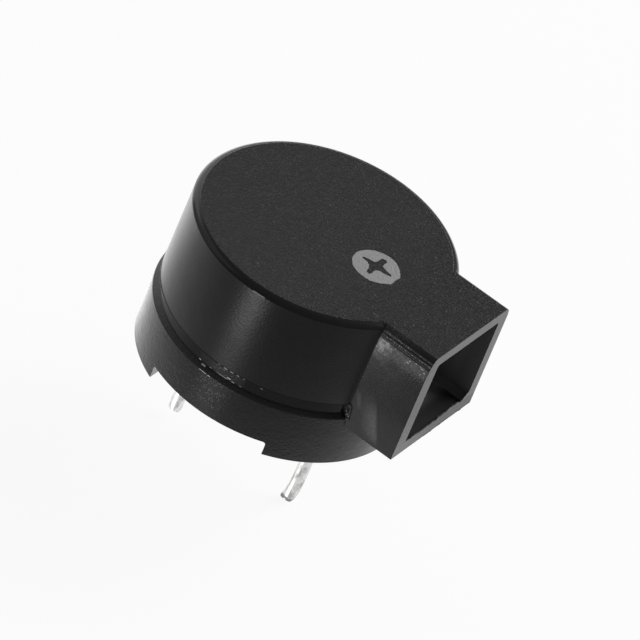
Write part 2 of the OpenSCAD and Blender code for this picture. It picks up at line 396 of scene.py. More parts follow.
def corner_fill(name, side, round_size):
    """Fills one corner between the drum and the duct, from the rim to the top."""
    centre_y = HALF_W + ROOT_R
    meets = 180 + math.degrees(math.atan2(centre_y, ROOT_X))
    ring = arc((ROOT_X, centre_y), (ROOT_R, ROOT_R), 270, meets, 8)
    ring += INSIDE_CASE
    piece = outline(name, [(px, side * py, COLLAR_Z) for px, py in ring])
    only(piece)
    mode("EDIT")
    bpy.ops.mesh.select_all(action="SELECT")
    bpy.ops.mesh.edge_face_add()
    bpy.ops.mesh.select_all(action="SELECT")
    start = TOP_Z - round_size[1]
    level, inwards = COLLAR_Z, 0
    for step in range(CORNER_STEPS + 1):
        turn = math.radians(90 * step / CORNER_STEPS)
        z = start + round_size[1] * math.sin(turn)
        slide = round_size[0] * (1 - math.cos(turn))
        move = (0, -side * (slide - inwards), z - level)
        bpy.ops.mesh.extrude_region_move(TRANSFORM_OT_translate={"value": move})
        level, inwards = z, slide
    mode("OBJECT")
    return close_up(piece)


combine(cap, corner_fill("near_corner", -1, NEAR_ROUND), "UNION")
combine(cap, corner_fill("far_corner", 1, FAR_ROUND), "UNION")
measure(cap)

# %% [markdown]
# ## Hollowing the cap
#
# The room above the diaphragm and the duct's passage are empty. The passage is deep only
# outside the case. Inside, a wall screens the works and leaves a low window above it. Each
# empty space is built as a solid of its own shape and cut away. The passage stops just short
# of the mouth: the skin that it leaves is opened in the next step.

# %% Cut the room and the spigot's bore
CAP_BORE_R = 4.85
BORE_STEPS = 128
CUT = 1.0


def plug(name, radius, bottom, top, steps=BORE_STEPS):
    """A plain round solid that is cut away or joined."""
    return lathe(name, [(0, bottom), (radius, bottom), (radius, top), (0, top)], steps)


combine(cap, plug("room", CAP_BORE_R, SPIGOT_Z - CUT, CEILING_Z), "DIFFERENCE")
combine(cap, plug("below", BORE_R, DUCT_Z - CUT, SPIGOT_Z), "DIFFERENCE")
measure(cap)

# %% Cut the passage
OPENING = {"left": -2.27, "right": 2.42, "top": 7.0}
CORNER_R = 0.15
CHAMFER = 0.3
CHAMFER_OUT = 0.06
LIP_T = 0.05


def opening_outline(x, floor, spare=0.0):
    """The opening's end view: small rounds above, a square corner and a chamfered one below."""
    left, right, top = OPENING["left"] - spare, OPENING["right"] + spare, OPENING["top"] + spare
    ring = arc((right - CORNER_R, top - CORNER_R), (CORNER_R, CORNER_R), 0, 90, 4)
    ring += arc((left + CORNER_R, top - CORNER_R), (CORNER_R, CORNER_R), 90, 180, 4)
    return [(x, y, z) for y, z in ring + floor]


far_foot = OPENING["right"] + CHAMFER_OUT
flat_floor = [(OPENING["left"], FLOOR_Z), (far_foot - CHAMFER, FLOOR_Z), (far_foot, FLOOR_Z + CHAMFER)]
passage = prism("passage", opening_outline(0, flat_floor), (MOUTH_X - LIP_T, 0, 0))
combine(passage, plug("screen", SCREEN_R, FLOOR_Z - CUT, WINDOW_Z), "DIFFERENCE")
combine(cap, passage, "DIFFERENCE")
measure(cap)

# %% [markdown]
# ## The ragged sill
#
# The real mouth was cut from its sprue by hand. A thin lip of flash stands on its sill, with an
# upper edge that steps up and down by a tenth of a millimetre, and thin burrs hang below the
# outer edge. The passage stopped short of the mouth, so that a skin was left there. An opening
# whose floor wanders is cut through that skin, and what stays is the lip. The burrs are small
# flakes, each a tapered block.

# %% Cut the sill
SPARE = 0.004
SHELVES = ((-1.2, 2.71), (0.2, 2.70), (1.0, 2.75), (1.8, 2.81), (OPENING["right"], 2.74))
RAGGED = 0.035
FAR_SHELF = 2.75

sill = random.Random(12)
wander = [(OPENING["left"] - SPARE, SHELVES[0][1])]
y = OPENING["left"] + 0.12
while y < OPENING["right"] - CHAMFER - 0.08:
    shelf = next(level for end, level in SHELVES if y < end)
    wander.append((y, shelf + sill.uniform(-RAGGED, RAGGED)))
    y += sill.uniform(0.07, 0.2)
wander += [(OPENING["right"] - CHAMFER, FAR_SHELF), (OPENING["right"] + 0.07, FAR_SHELF + CHAMFER + 0.03)]
lip = prism("lip", opening_outline(MOUTH_X - 2 * LIP_T, wander, SPARE), (2 * LIP_T + CUT, 0, 0))
combine(cap, lip, "DIFFERENCE")
measure(cap)

# %% Hang the burrs
BURRS = (
    (-0.25, 0.5, 0.06), (0.08, 0.13, 0.08), (0.72, 0.3, 0.06), (0.83, 0.10, 0.08),
    (2.40, 0.16, 0.12), (1.55, 0.4, 0.03), (-1.6, 0.6, 0.025),
)
BURR_SHAPE = ((-0.5, 0.8), (0.2, 1.0), (0.8, 0.55))
BURR_ROOT = 0.03
BURR_T = 0.055
STAGGER = 0.003

for number, (place, half, drop) in enumerate(BURRS):
    ends = [(half * along, -drop * down) for along, down in BURR_SHAPE]
    ends = [(-half, BURR_ROOT)] + ends + [(half, BURR_ROOT)]
    back = MOUTH_X - 0.07 - STAGGER * number
    flake = prism(f"burr_{number}", [(back, place + a, DUCT_Z + b) for a, b in ends], (BURR_T, 0, 0))
    combine(cap, flake, "UNION")
measure(cap)

# %% [markdown]
# ## Flash at the duct's root
#
# Where the duct passes through the base, a little plastic was squeezed out beside it. A thin
# arched tab leans against the duct's wall above the ledge, with a few beads at its foot. The
# tab is an outline pulled out by half a tenth of a millimetre. A bead starts as a sphere that
# is flattened and shaken out of shape. All are fused to the duct's wall. So many cuts leave
# pinholes and slivers behind, so the mesh is welded, filled and cleared of slivers at the end.

# %% Add the flash
BEAD_UNEVEN = 0.12


def bead(name, place, size, seed):
    """A flattened, slightly uneven bead."""
    bpy.ops.object.select_all(action="DESELECT")
    bpy.ops.mesh.primitive_uv_sphere_add(segments=16, ring_count=10, radius=1, location=(0, 0, 0))
    piece = named(bpy.context.object, name)
    mode("EDIT")
    bpy.ops.mesh.select_all(action="SELECT")
    bpy.ops.transform.resize(value=size)
    bpy.ops.mesh.select_all(action="DESELECT")
    mesh = bmesh.from_edit_mesh(piece.data)
    shake = random.Random(seed)
    for vertex in mesh.verts:
        vertex.co *= 1 + shake.uniform(-BEAD_UNEVEN, BEAD_UNEVEN)
    bmesh.update_edit_mesh(piece.data)
    mode("OBJECT")
    piece.location = place
    bpy.ops.object.transform_apply(location=True, rotation=True, scale=True)
    return piece


TAB_T = 0.05
TAB_SINK = 0.02
TAB = (
    (5.09, 2.50), (4.89, 3.02), (4.91, 3.14), (4.98, 3.24),
    (5.07, 3.27), (5.15, 3.23), (5.20, 3.12), (5.28, 2.52),
)
tab = prism("tab", [(px, -HALF_W - TAB_T, pz) for px, pz in TAB], (0, TAB_T + TAB_SINK, 0))
soften(tab, 0.014)
combine(cap, tab, "UNION")
BEADS = (
    ((5.07, -HALF_W - 0.04, 2.68), (0.05, 0.04, 0.05), 3),
    ((5.13, -HALF_W - 0.05, 2.58), (0.06, 0.05, 0.04), 4),
    ((5.21, -HALF_W - 0.04, 2.62), (0.04, 0.04, 0.06), 5),
    ((5.15, -HALF_W - 0.06, 2.86), (0.03, 0.03, 0.05), 6),
)
for number, (place, size, seed) in enumerate(BEADS):
    combine(cap, bead(f"bead_{number}", place, size, seed), "UNION")
measure(cap)

# %% Close the cap's mesh
TINY_WELD = 0.00002

close_up(cap, TINY_WELD)
mode("EDIT")
bpy.ops.mesh.select_all(action="SELECT")
bpy.ops.mesh.fill_holes(sides=4)
mode("OBJECT")
drop_slivers(cap)
measure(cap)

# %% [markdown]
# ## Edges of the mouth
#
# A moulded edge is never perfectly sharp: it carries a thin line of light. The long straight
# edges round the mouth and under the duct get a bevel of two hundredths of a millimetre. They
# are selected by their place and by the angle between their faces.

# %% Bevel the duct's outer edges
EDGE_BEVEL = 0.022


def select_edges(piece, test, angle=40):
    """In edit mode, selects the sharp outward edges whose two ends pass the test."""
    mesh = bmesh.from_edit_mesh(piece.data)
    count = 0
    for edge in mesh.edges:
        sharp = len(edge.link_faces) == 2 and edge.is_convex and edge.calc_face_angle(0) > math.radians(angle)
        if sharp and all(test(v.co) for v in edge.verts):
            edge.select_set(True)
            count += 1
    mesh.select_flush_mode()
    bmesh.update_edit_mesh(piece.data)
    return count


def bevel_edges(piece, test, width, segments=2, angle=40):
    """Bevels the sharp edges found by select_edges."""
    only(piece)
    mode("EDIT")
    bpy.ops.mesh.select_mode(type="EDGE")
    bpy.ops.mesh.select_all(action="DESELECT")
    count = select_edges(piece, test, angle)
    bpy.ops.mesh.bevel(offset=width, segments=segments, affect="EDGES", clamp_overlap=True)
    bpy.ops.mesh.select_mode(type="VERT")
    mode("OBJECT")
    return count


def on_rim(p, near=0.002):
    """On the mouth's outer outline, apart from the burrs' edge."""
    outer = abs(p.y) > HALF_W - near or p.z > CEILING_Z + 0.1
    return abs(p.x - MOUTH_X) < near and outer and p.z > DUCT_Z - 0.01


print("rim edges bevelled:", bevel_edges(cap, on_rim, EDGE_BEVEL))
smooth(cap)
measure(cap)

# %% [markdown]
# ## The base
#
# The base is a second black moulding: a ring with a flange, a slightly narrower collar that the
# cap stands on, and two feet. The ledge between flange and collar slopes a little outwards. Its
# edges are softly rounded. It is spun from one closed outline. The washing gap, which lets
# water out from under the case, and the seat of the duct are then cut right through it.

# %% Spin the base
FLANGE_ROUND = 0.07
FOOT_ROUND = 0.05
COLLAR_ROUND = 0.04
FILLET = 0.025
LEAN = 0.06

SLOPE = math.degrees(math.atan2(LEDGE_Z - FLANGE_Z, BASE_R - COLLAR_R))
TURN_AT = FLANGE_Z - FLANGE_ROUND * math.tan(math.radians(45 - SLOPE / 2))

base_profile = (
    [(BORE_R, 0), (BASE_R - FOOT_ROUND, 0)]
    + arc((BASE_R - FOOT_ROUND, FOOT_ROUND), (FOOT_ROUND, FOOT_ROUND), -60, 0, 2)
    + arc((BASE_R - FLANGE_ROUND, TURN_AT), (FLANGE_ROUND, FLANGE_ROUND), 0, 90 - SLOPE, 4)
    + [(COLLAR_R + FILLET, LEDGE_Z - FILLET / 2), (COLLAR_R + FILLET / 4, LEDGE_Z + FILLET / 4)]
    + [(COLLAR_R, LEDGE_Z + FILLET)]
    + arc((COLLAR_R - LEAN - COLLAR_ROUND, COLLAR_Z - COLLAR_ROUND), (COLLAR_ROUND, COLLAR_ROUND), 8, 90, 3)
    + [(BORE_R, COLLAR_Z), (BORE_R, 0)]
)
base = lathe("base_moulding", base_profile)
measure(base)

# %% Cut the washing gap and the seat of the duct
GAP_X = (-2.72, 3.08)
GAP_Z = 0.66
GAP_ROUND = 0.12
SEAT_GAP = 0.015
CUT_BEVEL = 0.02

gap_end = (
    [(GAP_X[0], -CUT)]
    + arc((GAP_X[0] + GAP_ROUND, GAP_Z - GAP_ROUND), (GAP_ROUND, GAP_ROUND), 180, 90, 4)
    + arc((GAP_X[1] - GAP_ROUND, GAP_Z - GAP_ROUND), (GAP_ROUND, GAP_ROUND), 90, 0, 4)
    + [(GAP_X[1], -CUT)]
)
gap = prism("gap", [(x, -BASE_R - CUT, z) for x, z in gap_end], (0, 2 * (BASE_R + CUT), 0))
combine(base, gap, "DIFFERENCE")
seat_y = HALF_W + SEAT_GAP
seat_far = seat_y + FAR_DRAFT
seat_low, seat_high = DUCT_Z - SEAT_GAP, COLLAR_Z + CUT
seat_end = [(-seat_y, seat_low), (seat_far, seat_low), (seat_far, seat_high), (-seat_y, seat_high)]
seat = prism("seat", [(0, y, z) for y, z in seat_end], (BASE_R + CUT, 0, 0))
combine(base, seat, "DIFFERENCE")


def on_cut(p, near=0.01):
    """On the outer edges of the gap or of the duct's seat."""
    in_gap = p.z < GAP_Z + near and GAP_X[0] - near < p.x < GAP_X[1] + near
    in_seat = p.x > 0 and p.z > seat_low - near and -seat_y - near < p.y < seat_far + near
    return in_gap or in_seat


print("cut edges bevelled:", bevel_edges(base, on_cut, CUT_BEVEL))
smooth(base)
measure(base)

# %% [markdown]
# ## The printed mark
#
# The grey disc is printed with a rubber pad, so its edge isn't a perfect circle: it wanders by
# a hundredth of a millimetre, and one side is a little flat. A cylinder would give too clean
# an edge. So the disc is an outline whose radius wanders: four waves and a fine shake.

# %% Print the disc
MARK = (2.6, -0.05)
MARK_R = 1.04
FLAT_R = 1.05
CORNER = 1.10
CORNER_AT, CORNER_WIDTH = 0.32, 0.3
INK_T = 0.008
WAVES = ((0.008, 3), (0.006, 7), (0.005, 13), (0.004, 29))
DISC_SIDES = 120

edge = random.Random(5)
disc_points = []
phases = [edge.uniform(0, 2 * math.pi) for _ in WAVES]
for i in range(DISC_SIDES):
    turn = 2 * math.pi * i / DISC_SIDES
    wander = sum(high * math.sin(count * turn + phase) for (high, count), phase in zip(WAVES, phases))
    off_flat = abs(math.atan2(math.sin(turn), math.cos(turn)))
    bulge = (CORNER - MARK_R) * max(0, 1 - abs(off_flat - CORNER_AT) / CORNER_WIDTH)
    flat = FLAT_R / max(math.cos(turn), 0.2)
    radius = min(MARK_R + bulge + wander, flat + wander / 2) + edge.uniform(-0.010, 0.006)
    disc_points.append((MARK[0] + radius * math.cos(turn), MARK[1] + radius * math.sin(turn), TOP_Z))
mark = prism("mark_print", disc_points, (0, 0, INK_T))
measure(mark)

# %% [markdown]
# The plus isn't printed but left bare, and its arms narrow towards their tips, with soft inner
# corners. So its outline is a list of points, with two more between each pair and a slight shake
# on all of them, and the solid drawn from it is cut out of the disc.

# %% Leave the plus bare
SHAKE = 0.012
PLUS = (
    (-0.74, -0.03), (-0.68, 0.09), (-0.38, 0.16), (-0.20, 0.20), (-0.16, 0.36), (-0.14, 0.68), (0.02, 0.73),
    (0.14, 0.66), (0.13, 0.47), (0.15, 0.27), (0.40, 0.18), (0.72, 0.13), (0.77, 0.02), (0.58, -0.05),
    (0.28, -0.09), (0.12, -0.21), (0.14, -0.54), (0.10, -0.65), (-0.07, -0.66), (-0.14, -0.40),
    (-0.24, -0.18), (-0.42, -0.08),
)
plus_points = []
for (ax, ay), (bx, by) in zip(PLUS, PLUS[1:] + PLUS[:1]):
    for part in (0, 1 / 3, 2 / 3):
        shake_x, shake_y = edge.uniform(-SHAKE, SHAKE), edge.uniform(-SHAKE, SHAKE)
        plus_x, plus_y = ax + (bx - ax) * part + shake_x, ay + (by - ay) * part + shake_y
        plus_points.append((MARK[0] + plus_x, MARK[1] + plus_y, TOP_Z - CUT))
plus = prism("plus", plus_points, (0, 0, 2 * CUT))
combine(mark, plus, "DIFFERENCE")
smooth(mark)
measure(mark)

# %% [markdown]
# ## The wire pins
#
# Each pin is a round wire with a thicker head inside the case, where the circuit board holds
# it. Below, the wires were cut with pliers: the blades pinch the wire to a blunt wedge. One
# wire came out a little bent. A pin is drawn as a disc that is extruded downwards in steps,
# and each step may slide or squeeze the ring, as a hand would do it.

# %% Draw the pins
HEAD_R = 0.5
HEAD_TOP = 2.35
HEAD_FOOT = 0.86
PIN_SIDES = 40


def wire_pin(name, x, rings):
    """Extrudes a disc downwards: each ring is (z, slide x, slide y, size x, size y)."""
    bpy.ops.object.select_all(action="DESELECT")
    top = (x, 0, HEAD_TOP)
    bpy.ops.mesh.primitive_circle_add(vertices=PIN_SIDES, radius=HEAD_R, fill_type="NGON", location=top)
    piece = named(bpy.context.object, name)
    bpy.ops.object.transform_apply(location=True, rotation=True, scale=True)
    mode("EDIT")
    bpy.ops.mesh.select_all(action="SELECT")
    level, here, size = HEAD_TOP, Vector((x, 0)), Vector((HEAD_R, HEAD_R))
    for z, slide_x, slide_y, size_x, size_y in rings:
        step = Vector((x + slide_x - here.x, slide_y - here.y, z - level))
        bpy.ops.mesh.extrude_region_move(TRANSFORM_OT_translate={"value": step})
        centre = (x + slide_x, slide_y, z)
        bpy.ops.transform.resize(value=(size_x / size.x, size_y / size.y, 1), center_override=centre)
        level, here, size = z, Vector((x + slide_x, slide_y)), Vector((size_x, size_y))
    mode("OBJECT")
    return close_up(piece)


HEAD = (
    (HEAD_FOOT + 0.05, 0, 0, HEAD_R, HEAD_R),
    (HEAD_FOOT, 0, 0, 0.45, 0.45),
    (HEAD_FOOT - 0.005, 0, 0, PIN_R, PIN_R),
)
front_rings = HEAD + (
    (0.6, 0.0, 0.0, 0.3, 0.3),
    (0.0, -0.01, -0.01, 0.3, 0.3),
    (-1.2, -0.025, -0.02, 0.287, 0.29),
    (-2.4, -0.065, -0.035, 0.29, 0.287),
    (-3.36, -0.089, -0.05, 0.285, 0.29),
    (-4.05, -0.092, -0.06, 0.29, 0.286),
    (-4.41, -0.108, -0.07, 0.29, 0.29),
    (-4.78, -0.138, -0.09, 0.29, 0.29),
    (-4.95, -0.17, -0.1, 0.295, 0.26),
    (-5.08, -0.21, -0.115, 0.295, 0.2),
    (-5.18, -0.245, -0.125, 0.285, 0.15),
    (-5.27, -0.267, -0.13, 0.265, 0.11),
)
rear_rings = HEAD + (
    (0.6, 0, 0, 0.3, 0.3),
    (-1.0, 0.01, 0, 0.3, 0.3),
    (-2.2, 0.02, 0.01, 0.297, 0.3),
    (-3.4, 0.01, 0.01, 0.3, 0.297),
    (-4.6, 0.0, 0, 0.3, 0.3),
    (-4.76, -0.01, 0, 0.30, 0.28),
    (-4.91, -0.02, 0, 0.29, 0.20),
    (-5.02, -0.03, 0, 0.26, 0.12),
)
front_pin = wire_pin("front_pin", PIN_X, front_rings)
rear_pin = wire_pin("rear_pin", -PIN_X, rear_rings)
measure(front_pin)
measure(rear_pin)

# %% [markdown]
# The blades squeezed the front pin's end flat and left a nick in its edge, with a short prong
# on each side of it. A small wedge cut through the tip gives the two prongs.

# %% Nick the front pin's end
nick_at = (PIN_X - 0.26, -5.27)
nick_end = [(-0.13, -0.1), (0.12, -0.1), (0.02, 0.10), (-0.03, 0.09)]
nick = prism("nick", [(nick_at[0] + a, -CUT, nick_at[1] + b) for a, b in nick_end], (0, 2 * CUT, 0))
combine(front_pin, nick, "DIFFERENCE")
for pin in (front_pin, rear_pin):
    soften(pin, 0.012, angle=50)
    smooth(pin, 40)
    measure(pin)

# %% [markdown]
# ## The resin
#
# The case's underside is sealed with dark resin, poured while the buzzer stood on its head.
# A liquid climbs the walls it touches, so the resin's face curves down at the bore and round
# the pins. The disc is spun with that curve in its outline. Where a pin passes, a small spun
# collar is fused to it.

# %% Pour the resin
BOARD_Z = 2.0
CLIMB = 0.07
RISE_AT_PIN = 0.08
COLLAR_TOP = 1.2

resin_profile = [
    (0, SEAL_Z + 0.02), (3.2, SEAL_Z + 0.01), (BORE_R - 0.45, SEAL_Z), (BORE_R - 0.2, SEAL_Z - 0.012),
    (BORE_R - 0.08, SEAL_Z - 0.035), (BORE_R, SEAL_Z - CLIMB), (BORE_R, BOARD_Z), (0, BOARD_Z),
]
collar_profile = [
    (0, COLLAR_TOP), (0.62, COLLAR_TOP), (0.62, SEAL_Z + 0.01), (0.5, SEAL_Z - 0.01),
    (0.4, SEAL_Z - 0.035), (0.33, SEAL_Z - RISE_AT_PIN), (0, SEAL_Z - RISE_AT_PIN),
]
resin = lathe("resin_fill", resin_profile, 96)


def at_pin(piece, side):
    """Moves a solid drawn on the axis to one of the pins."""
    piece.location = (side * PIN_X, 0, 0)
    bpy.ops.object.transform_apply(location=True, rotation=False, scale=False)
    return piece


for side in (-1, 1):
    combine(resin, at_pin(lathe("collar", collar_profile, 40), side), "UNION")
measure(resin)

# %% [markdown]
# The resin has flowed round all that hangs below the board: the pins and their solder, the lead
# joints and three small parts. The space of each is cut out of it. For a pin that is a spun
# cutter a little wider than the wire. For the rest it is a merged copy of the CAD mesh, lifted
# very slightly, because faces that lie exactly in one plane leave open edges.

# %% Make room for what hangs in the resin
LIFT = 0.003
PIN_CLEAR = 0.002


def merged_copy(node):
    """A copy of a CAD node's mesh, in millimetres, with its loose triangles merged."""
    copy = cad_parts[node].copy()
    copy.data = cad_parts[node].data.copy()
    copy.parent = None
    for key in list(copy.keys()):
        if key.startswith("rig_"):
            del copy[key]
    bpy.context.scene.collection.objects.link(copy)
    named(copy, "cut_" + node)
    only(copy)
    copy.scale = (1 / MM, 1 / MM, 1 / MM)
    copy.location = (0, 0, LIFT)
    bpy.ops.object.transform_apply(location=True, rotation=True, scale=True)
    return close_up(copy)


IN_RESIN = ("transistor", "diode", "resistor", "positive_solder", "negative_solder", "lead_solder")
for side in (-1, 1):
    hole = plug("pin_hole", PIN_R + PIN_CLEAR, 0, BOARD_Z + CUT, 64)
    close_up(combine(resin, at_pin(hole, side), "DIFFERENCE"))
for node in IN_RESIN:
    close_up(combine(resin, merged_copy(node), "DIFFERENCE"))
smooth(resin)
measure(resin)

# %% [markdown]
# ## Bringing the pieces to the frame
#
# Each finished piece is scaled to metres, takes the place of its CAD node, and rides on the
# one body that the buzzer has. The CAD nodes stay as they are, hidden, for collision.

# %% Settle the pieces
def settle(piece, node):
    """Brings a finished piece to metres, hides its CAD node, and ties it to the body."""
    only(piece)
    piece.scale = (MM, MM, MM)
    piece.location = piece.location * MM
    bpy.ops.object.transform_apply(location=True, rotation=True, scale=True)
    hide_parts(node)
    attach(piece, "root")
    measure(piece, MM)
    return piece


cap = settle(cap, "cap")
base = settle(base, "base")
mark = settle(mark, "polarity_mark")
front_pin = settle(front_pin, "positive_pin")
rear_pin = settle(rear_pin, "negative_pin")
resin = settle(resin, "resin_seal")

# %% [markdown]
# ## Shader sums as plain expressions
#
# A finish is a small program: it reads the place on the surface, adds noise, and mixes. In
# nodes, each sum is a box with wires. Here a small class wraps a socket, and its operators add
# the Math nodes, so that a mask can be written as 1 - mask or grain * 0.3 + 0.1.

# %% Sockets that can be added and multiplied
class Wire:
    """A shader socket that takes part in sums: each operator adds one Math node."""

    def __init__(self, finish, socket):
        self.finish = finish
        self.socket = socket

    def sum(self, how, *others):
        return self.finish.math(how, *others)

    def __add__(self, other):
        return self.sum("ADD", self, other)

    def __sub__(self, other):
        return self.sum("SUBTRACT", self, other)

    def __rsub__(self, other):
        return self.sum("SUBTRACT", other, self)

    def __mul__(self, other):
        return self.sum("MULTIPLY", self, other)

    def __truediv__(self, other):
        return self.sum("DIVIDE", self, other)

    def __pow__(self, other):
        return self.sum("POWER", self, other)

    __radd__ = __add__
    __rmul__ = __mul__


# %% [markdown]
# ## Building a finish
#
# Every other node comes from one method. It takes the node's type, then its settings, then what
# goes into its sockets: a number, a colour or a wire. A few short words on top of it (noise,
# rise, band, blend) keep the finishes readable. Places are in millimetres, from a Mapping node.

# %% The finish class
class Finish:
    """One procedural material: nodes are added by name, and constants go on the shader's sockets."""

    def __init__(self, name, **constants):
        self.material = bpy.data.materials.new(name)
        self.material.use_nodes = True
        self.tree = self.material.node_tree
        self.surface = self.tree.nodes["Principled BSDF"]
        for word, value in constants.items():
            self.surface.inputs[word.replace("_", " ")].default_value = value
        seen = self.node("ShaderNodeTexCoord", out="Object")
        self.place = self.node("ShaderNodeMapping", {}, {"Vector": seen, "Scale": (1 / MM,) * 3})
        split = self.node("ShaderNodeSeparateXYZ", {}, {"Vector": self.place}, out="X")
        self.x, self.y, self.z = (Wire(self, s) for s in split.socket.node.outputs)

    def node(self, kind, settings=None, values=None, out=0):
        """Adds a node: settings first, then socket values or wires. Returns one output."""
        made = self.tree.nodes.new(kind)
        for key, value in (settings or {}).items():
            if key == "stops":
                ramp = made.color_ramp
                while len(ramp.elements) < len(value):
                    ramp.elements.new(0.5)
                for element, (position, colour) in zip(ramp.elements, value):
                    element.position = position
                    element.color = (*colour, 1)
            else:
                setattr(made, key, value)
        for key, value in (values or {}).items():
            self.feed(made.inputs[key], value)
        return Wire(self, made.outputs[out])

    def feed(self, socket, value):
        """Puts a number, a colour or a wire into a socket."""
        if isinstance(value, Wire):
            self.tree.links.new(value.socket, socket)
        elif isinstance(value, tuple) and len(socket.default_value) == 4:
            socket.default_value = (*value, 1)
        else:
            socket.default_value = value

    def math(self, how, *terms):
        """One Math node."""
        return self.node("ShaderNodeMath", {"operation": how}, dict(enumerate(terms)))

    def stretch(self, scale, turn=(0, 0, 0)):
        """The place with its axes scaled, for a drawn-out or brushed pattern."""
        values = {"Vector": self.place, "Scale": scale, "Rotation": turn}
        return self.node("ShaderNodeMapping", {}, values)

    def noise(self, size, detail=2.0, rough=0.5, at=None):
        """Soft noise from 0 to 1, with lumps of about the size in millimetres."""
        values = {"Vector": at or self.place, "Scale": 1 / size, "Detail": detail, "Roughness": rough}
        return self.node("ShaderNodeTexNoise", {}, values)

    def cells(self, size):
        """Distance to scattered points, for specks and pits."""
        return self.node("ShaderNodeTexVoronoi", {}, {"Vector": self.place, "Scale": 1 / size})

    def rise(self, value, low, high, to=(0.0, 1.0)):
        """A smooth step: to[0] below low, to[1] above high."""
        values = {"Value": value, "From Min": low, "From Max": high, "To Min": to[0], "To Max": to[1]}
        return self.node("ShaderNodeMapRange", {"interpolation_type": "SMOOTHSTEP"}, values)

    def band(self, value, middle, half, soft):
        """1 within half of the middle, fading over the soft width on each side."""
        away = self.math("ABSOLUTE", value - middle)
        return self.rise(away, half, half + soft, (1.0, 0.0))

    def blend(self, factor, first, second):
        """Mixes two colours."""
        return self.node("ShaderNodeMix", {"data_type": "RGBA"}, {0: factor, 6: first, 7: second}, out=2)

    def sector(self, turn, middle, half, soft):
        """A band of the angle round the axis, given in degrees."""
        return self.band(turn, math.radians(middle), math.radians(half), math.radians(soft))

    def most_one(self, value):
        """The value, held at 1."""
        return self.math("MINIMUM", value, 1.0)

    def marks(self, turn, height, places):
        """Marks round the case: (degrees, half its length, height, half its width, strength)."""
        total = 0.0
        for degrees, half, level, thick, strength in places:
            along = self.sector(turn, degrees, half, 0.4)
            total = along * self.band(height, level, thick, 0.012) * strength + total
        return total

    def dots(self, places, size):
        """Round specks at points in space."""
        total = 0.0
        how = {"operation": "DISTANCE"}
        for place in places:
            away = self.node("ShaderNodeVectorMath", how, {0: self.place, 1: place}, out="Value")
            total = self.rise(away, size, size * 0.5) + total
        return total

    def bump(self, height, strength, depth=0.00001, under=None):
        """Turns a height from 0 to 1 into relief of the depth in metres."""
        values = {"Height": height, "Strength": strength, "Distance": depth}
        if under:
            values["Normal"] = under
        return self.node("ShaderNodeBump", {}, values)

    def show(self, **wires):
        """Feeds the shader: words are its socket names."""
        for word, value in wires.items():
            self.feed(self.surface.inputs[word.replace("_", " ")], value)
        return self.material

    def on(self, *objects):
        """Puts the finish on objects."""
        for thing in objects:
            thing.data.materials.clear()
            thing.data.materials.append(self.material)
        print(self.material.name, "on", ", ".join(thing.name for thing in objects))


def grey(level, blue=0.0):
    """A grey colour, with its blue raised or lowered a little."""
    return (level, level, level + blue)


# %% [markdown]
# ## Black moulded plastic
#
# The cap is one plastic with several surfaces. The mould's top was spark-eroded, which leaves
# a fine, sharp grain; the bright specks on it, where a single facet would face a lamp, are painted
# highlights. The rounded edge was polished. The round wall has a finer grain that streaks the
# reflections. The duct's sides are smooth with faint sink marks. So one shader carries them all,
# and masks read from the place on the part choose the grain and the gloss. The colour itself is a
# deep black: what shows as grey is mostly the gloss of the surface, and some of it is painted
# light, named below.

# %% Where each surface of the cap lies
PLASTIC_IOR = 1.5

black = Finish("cap black plastic", IOR=PLASTIC_IOR)
x, y, z = black.x, black.y, black.z
aside = black.math("ABSOLUTE", y)
top_face = black.rise(z, TOP_Z - 0.006, TOP_Z - 0.001)
on_mouth = black.rise(x, MOUTH_X - 0.03, MOUTH_X - 0.01)
not_flat = (1 - top_face) * (1 - on_mouth)
on_duct = black.rise(x, ROOT_X - 0.03, ROOT_X + 0.01) * black.rise(aside, 2.6, 2.65) * not_flat
in_duct = black.rise(x, 4.6, 4.7) * black.rise(aside, 2.52, 2.6, (1.0, 0.0))
in_duct = in_duct * black.rise(z, 7.05, 7.2, (1.0, 0.0)) * not_flat
deep = in_duct * black.rise(x, 5.32, 5.45, (1.0, 0.0))
on_sill = black.rise(z, FLOOR_Z + 0.05, FLOOR_Z + 0.02)
polished = black.rise(z, EDGE_Z - 0.01, EDGE_Z + 0.01) * not_flat * (1 - on_duct)
wall = not_flat * (1 - on_duct) * (1 - polished) * (1 - in_duct)
print("masks of the cap: top, mouth, duct, passage, sill, polished edge and wall")

# %% Grain and specks of the cap
coarse = black.noise(0.10, 2.0, 0.6)
fine = black.noise(0.06, 1.0, 0.5)
craters = black.cells(0.12)
lumps = black.noise(1.4, 1.0, 0.5)
drawn = black.noise(0.9, 1.0, 0.5, at=black.stretch((0.7, 1, 1.6)))
# Painted glints: scattered paler specks on the top, for facets that face a lamp.
top_glints = black.rise(black.cells(0.24), 0.15, 0.05) * top_face
drift = black.noise(0.3, 2.0, 0.6) - 0.5
grains = black.rise(black.cells(0.12), 0.42, 0.16)
glints = black.rise(black.cells(0.075), 0.45, 0.2)
patchy = black.rise(black.noise(0.22, 2.0, 0.6), 0.38, 0.62)
speckle = black.rise(coarse, 0.3, 0.7)
print("patterns of the cap:", len(black.tree.nodes), "nodes so far")
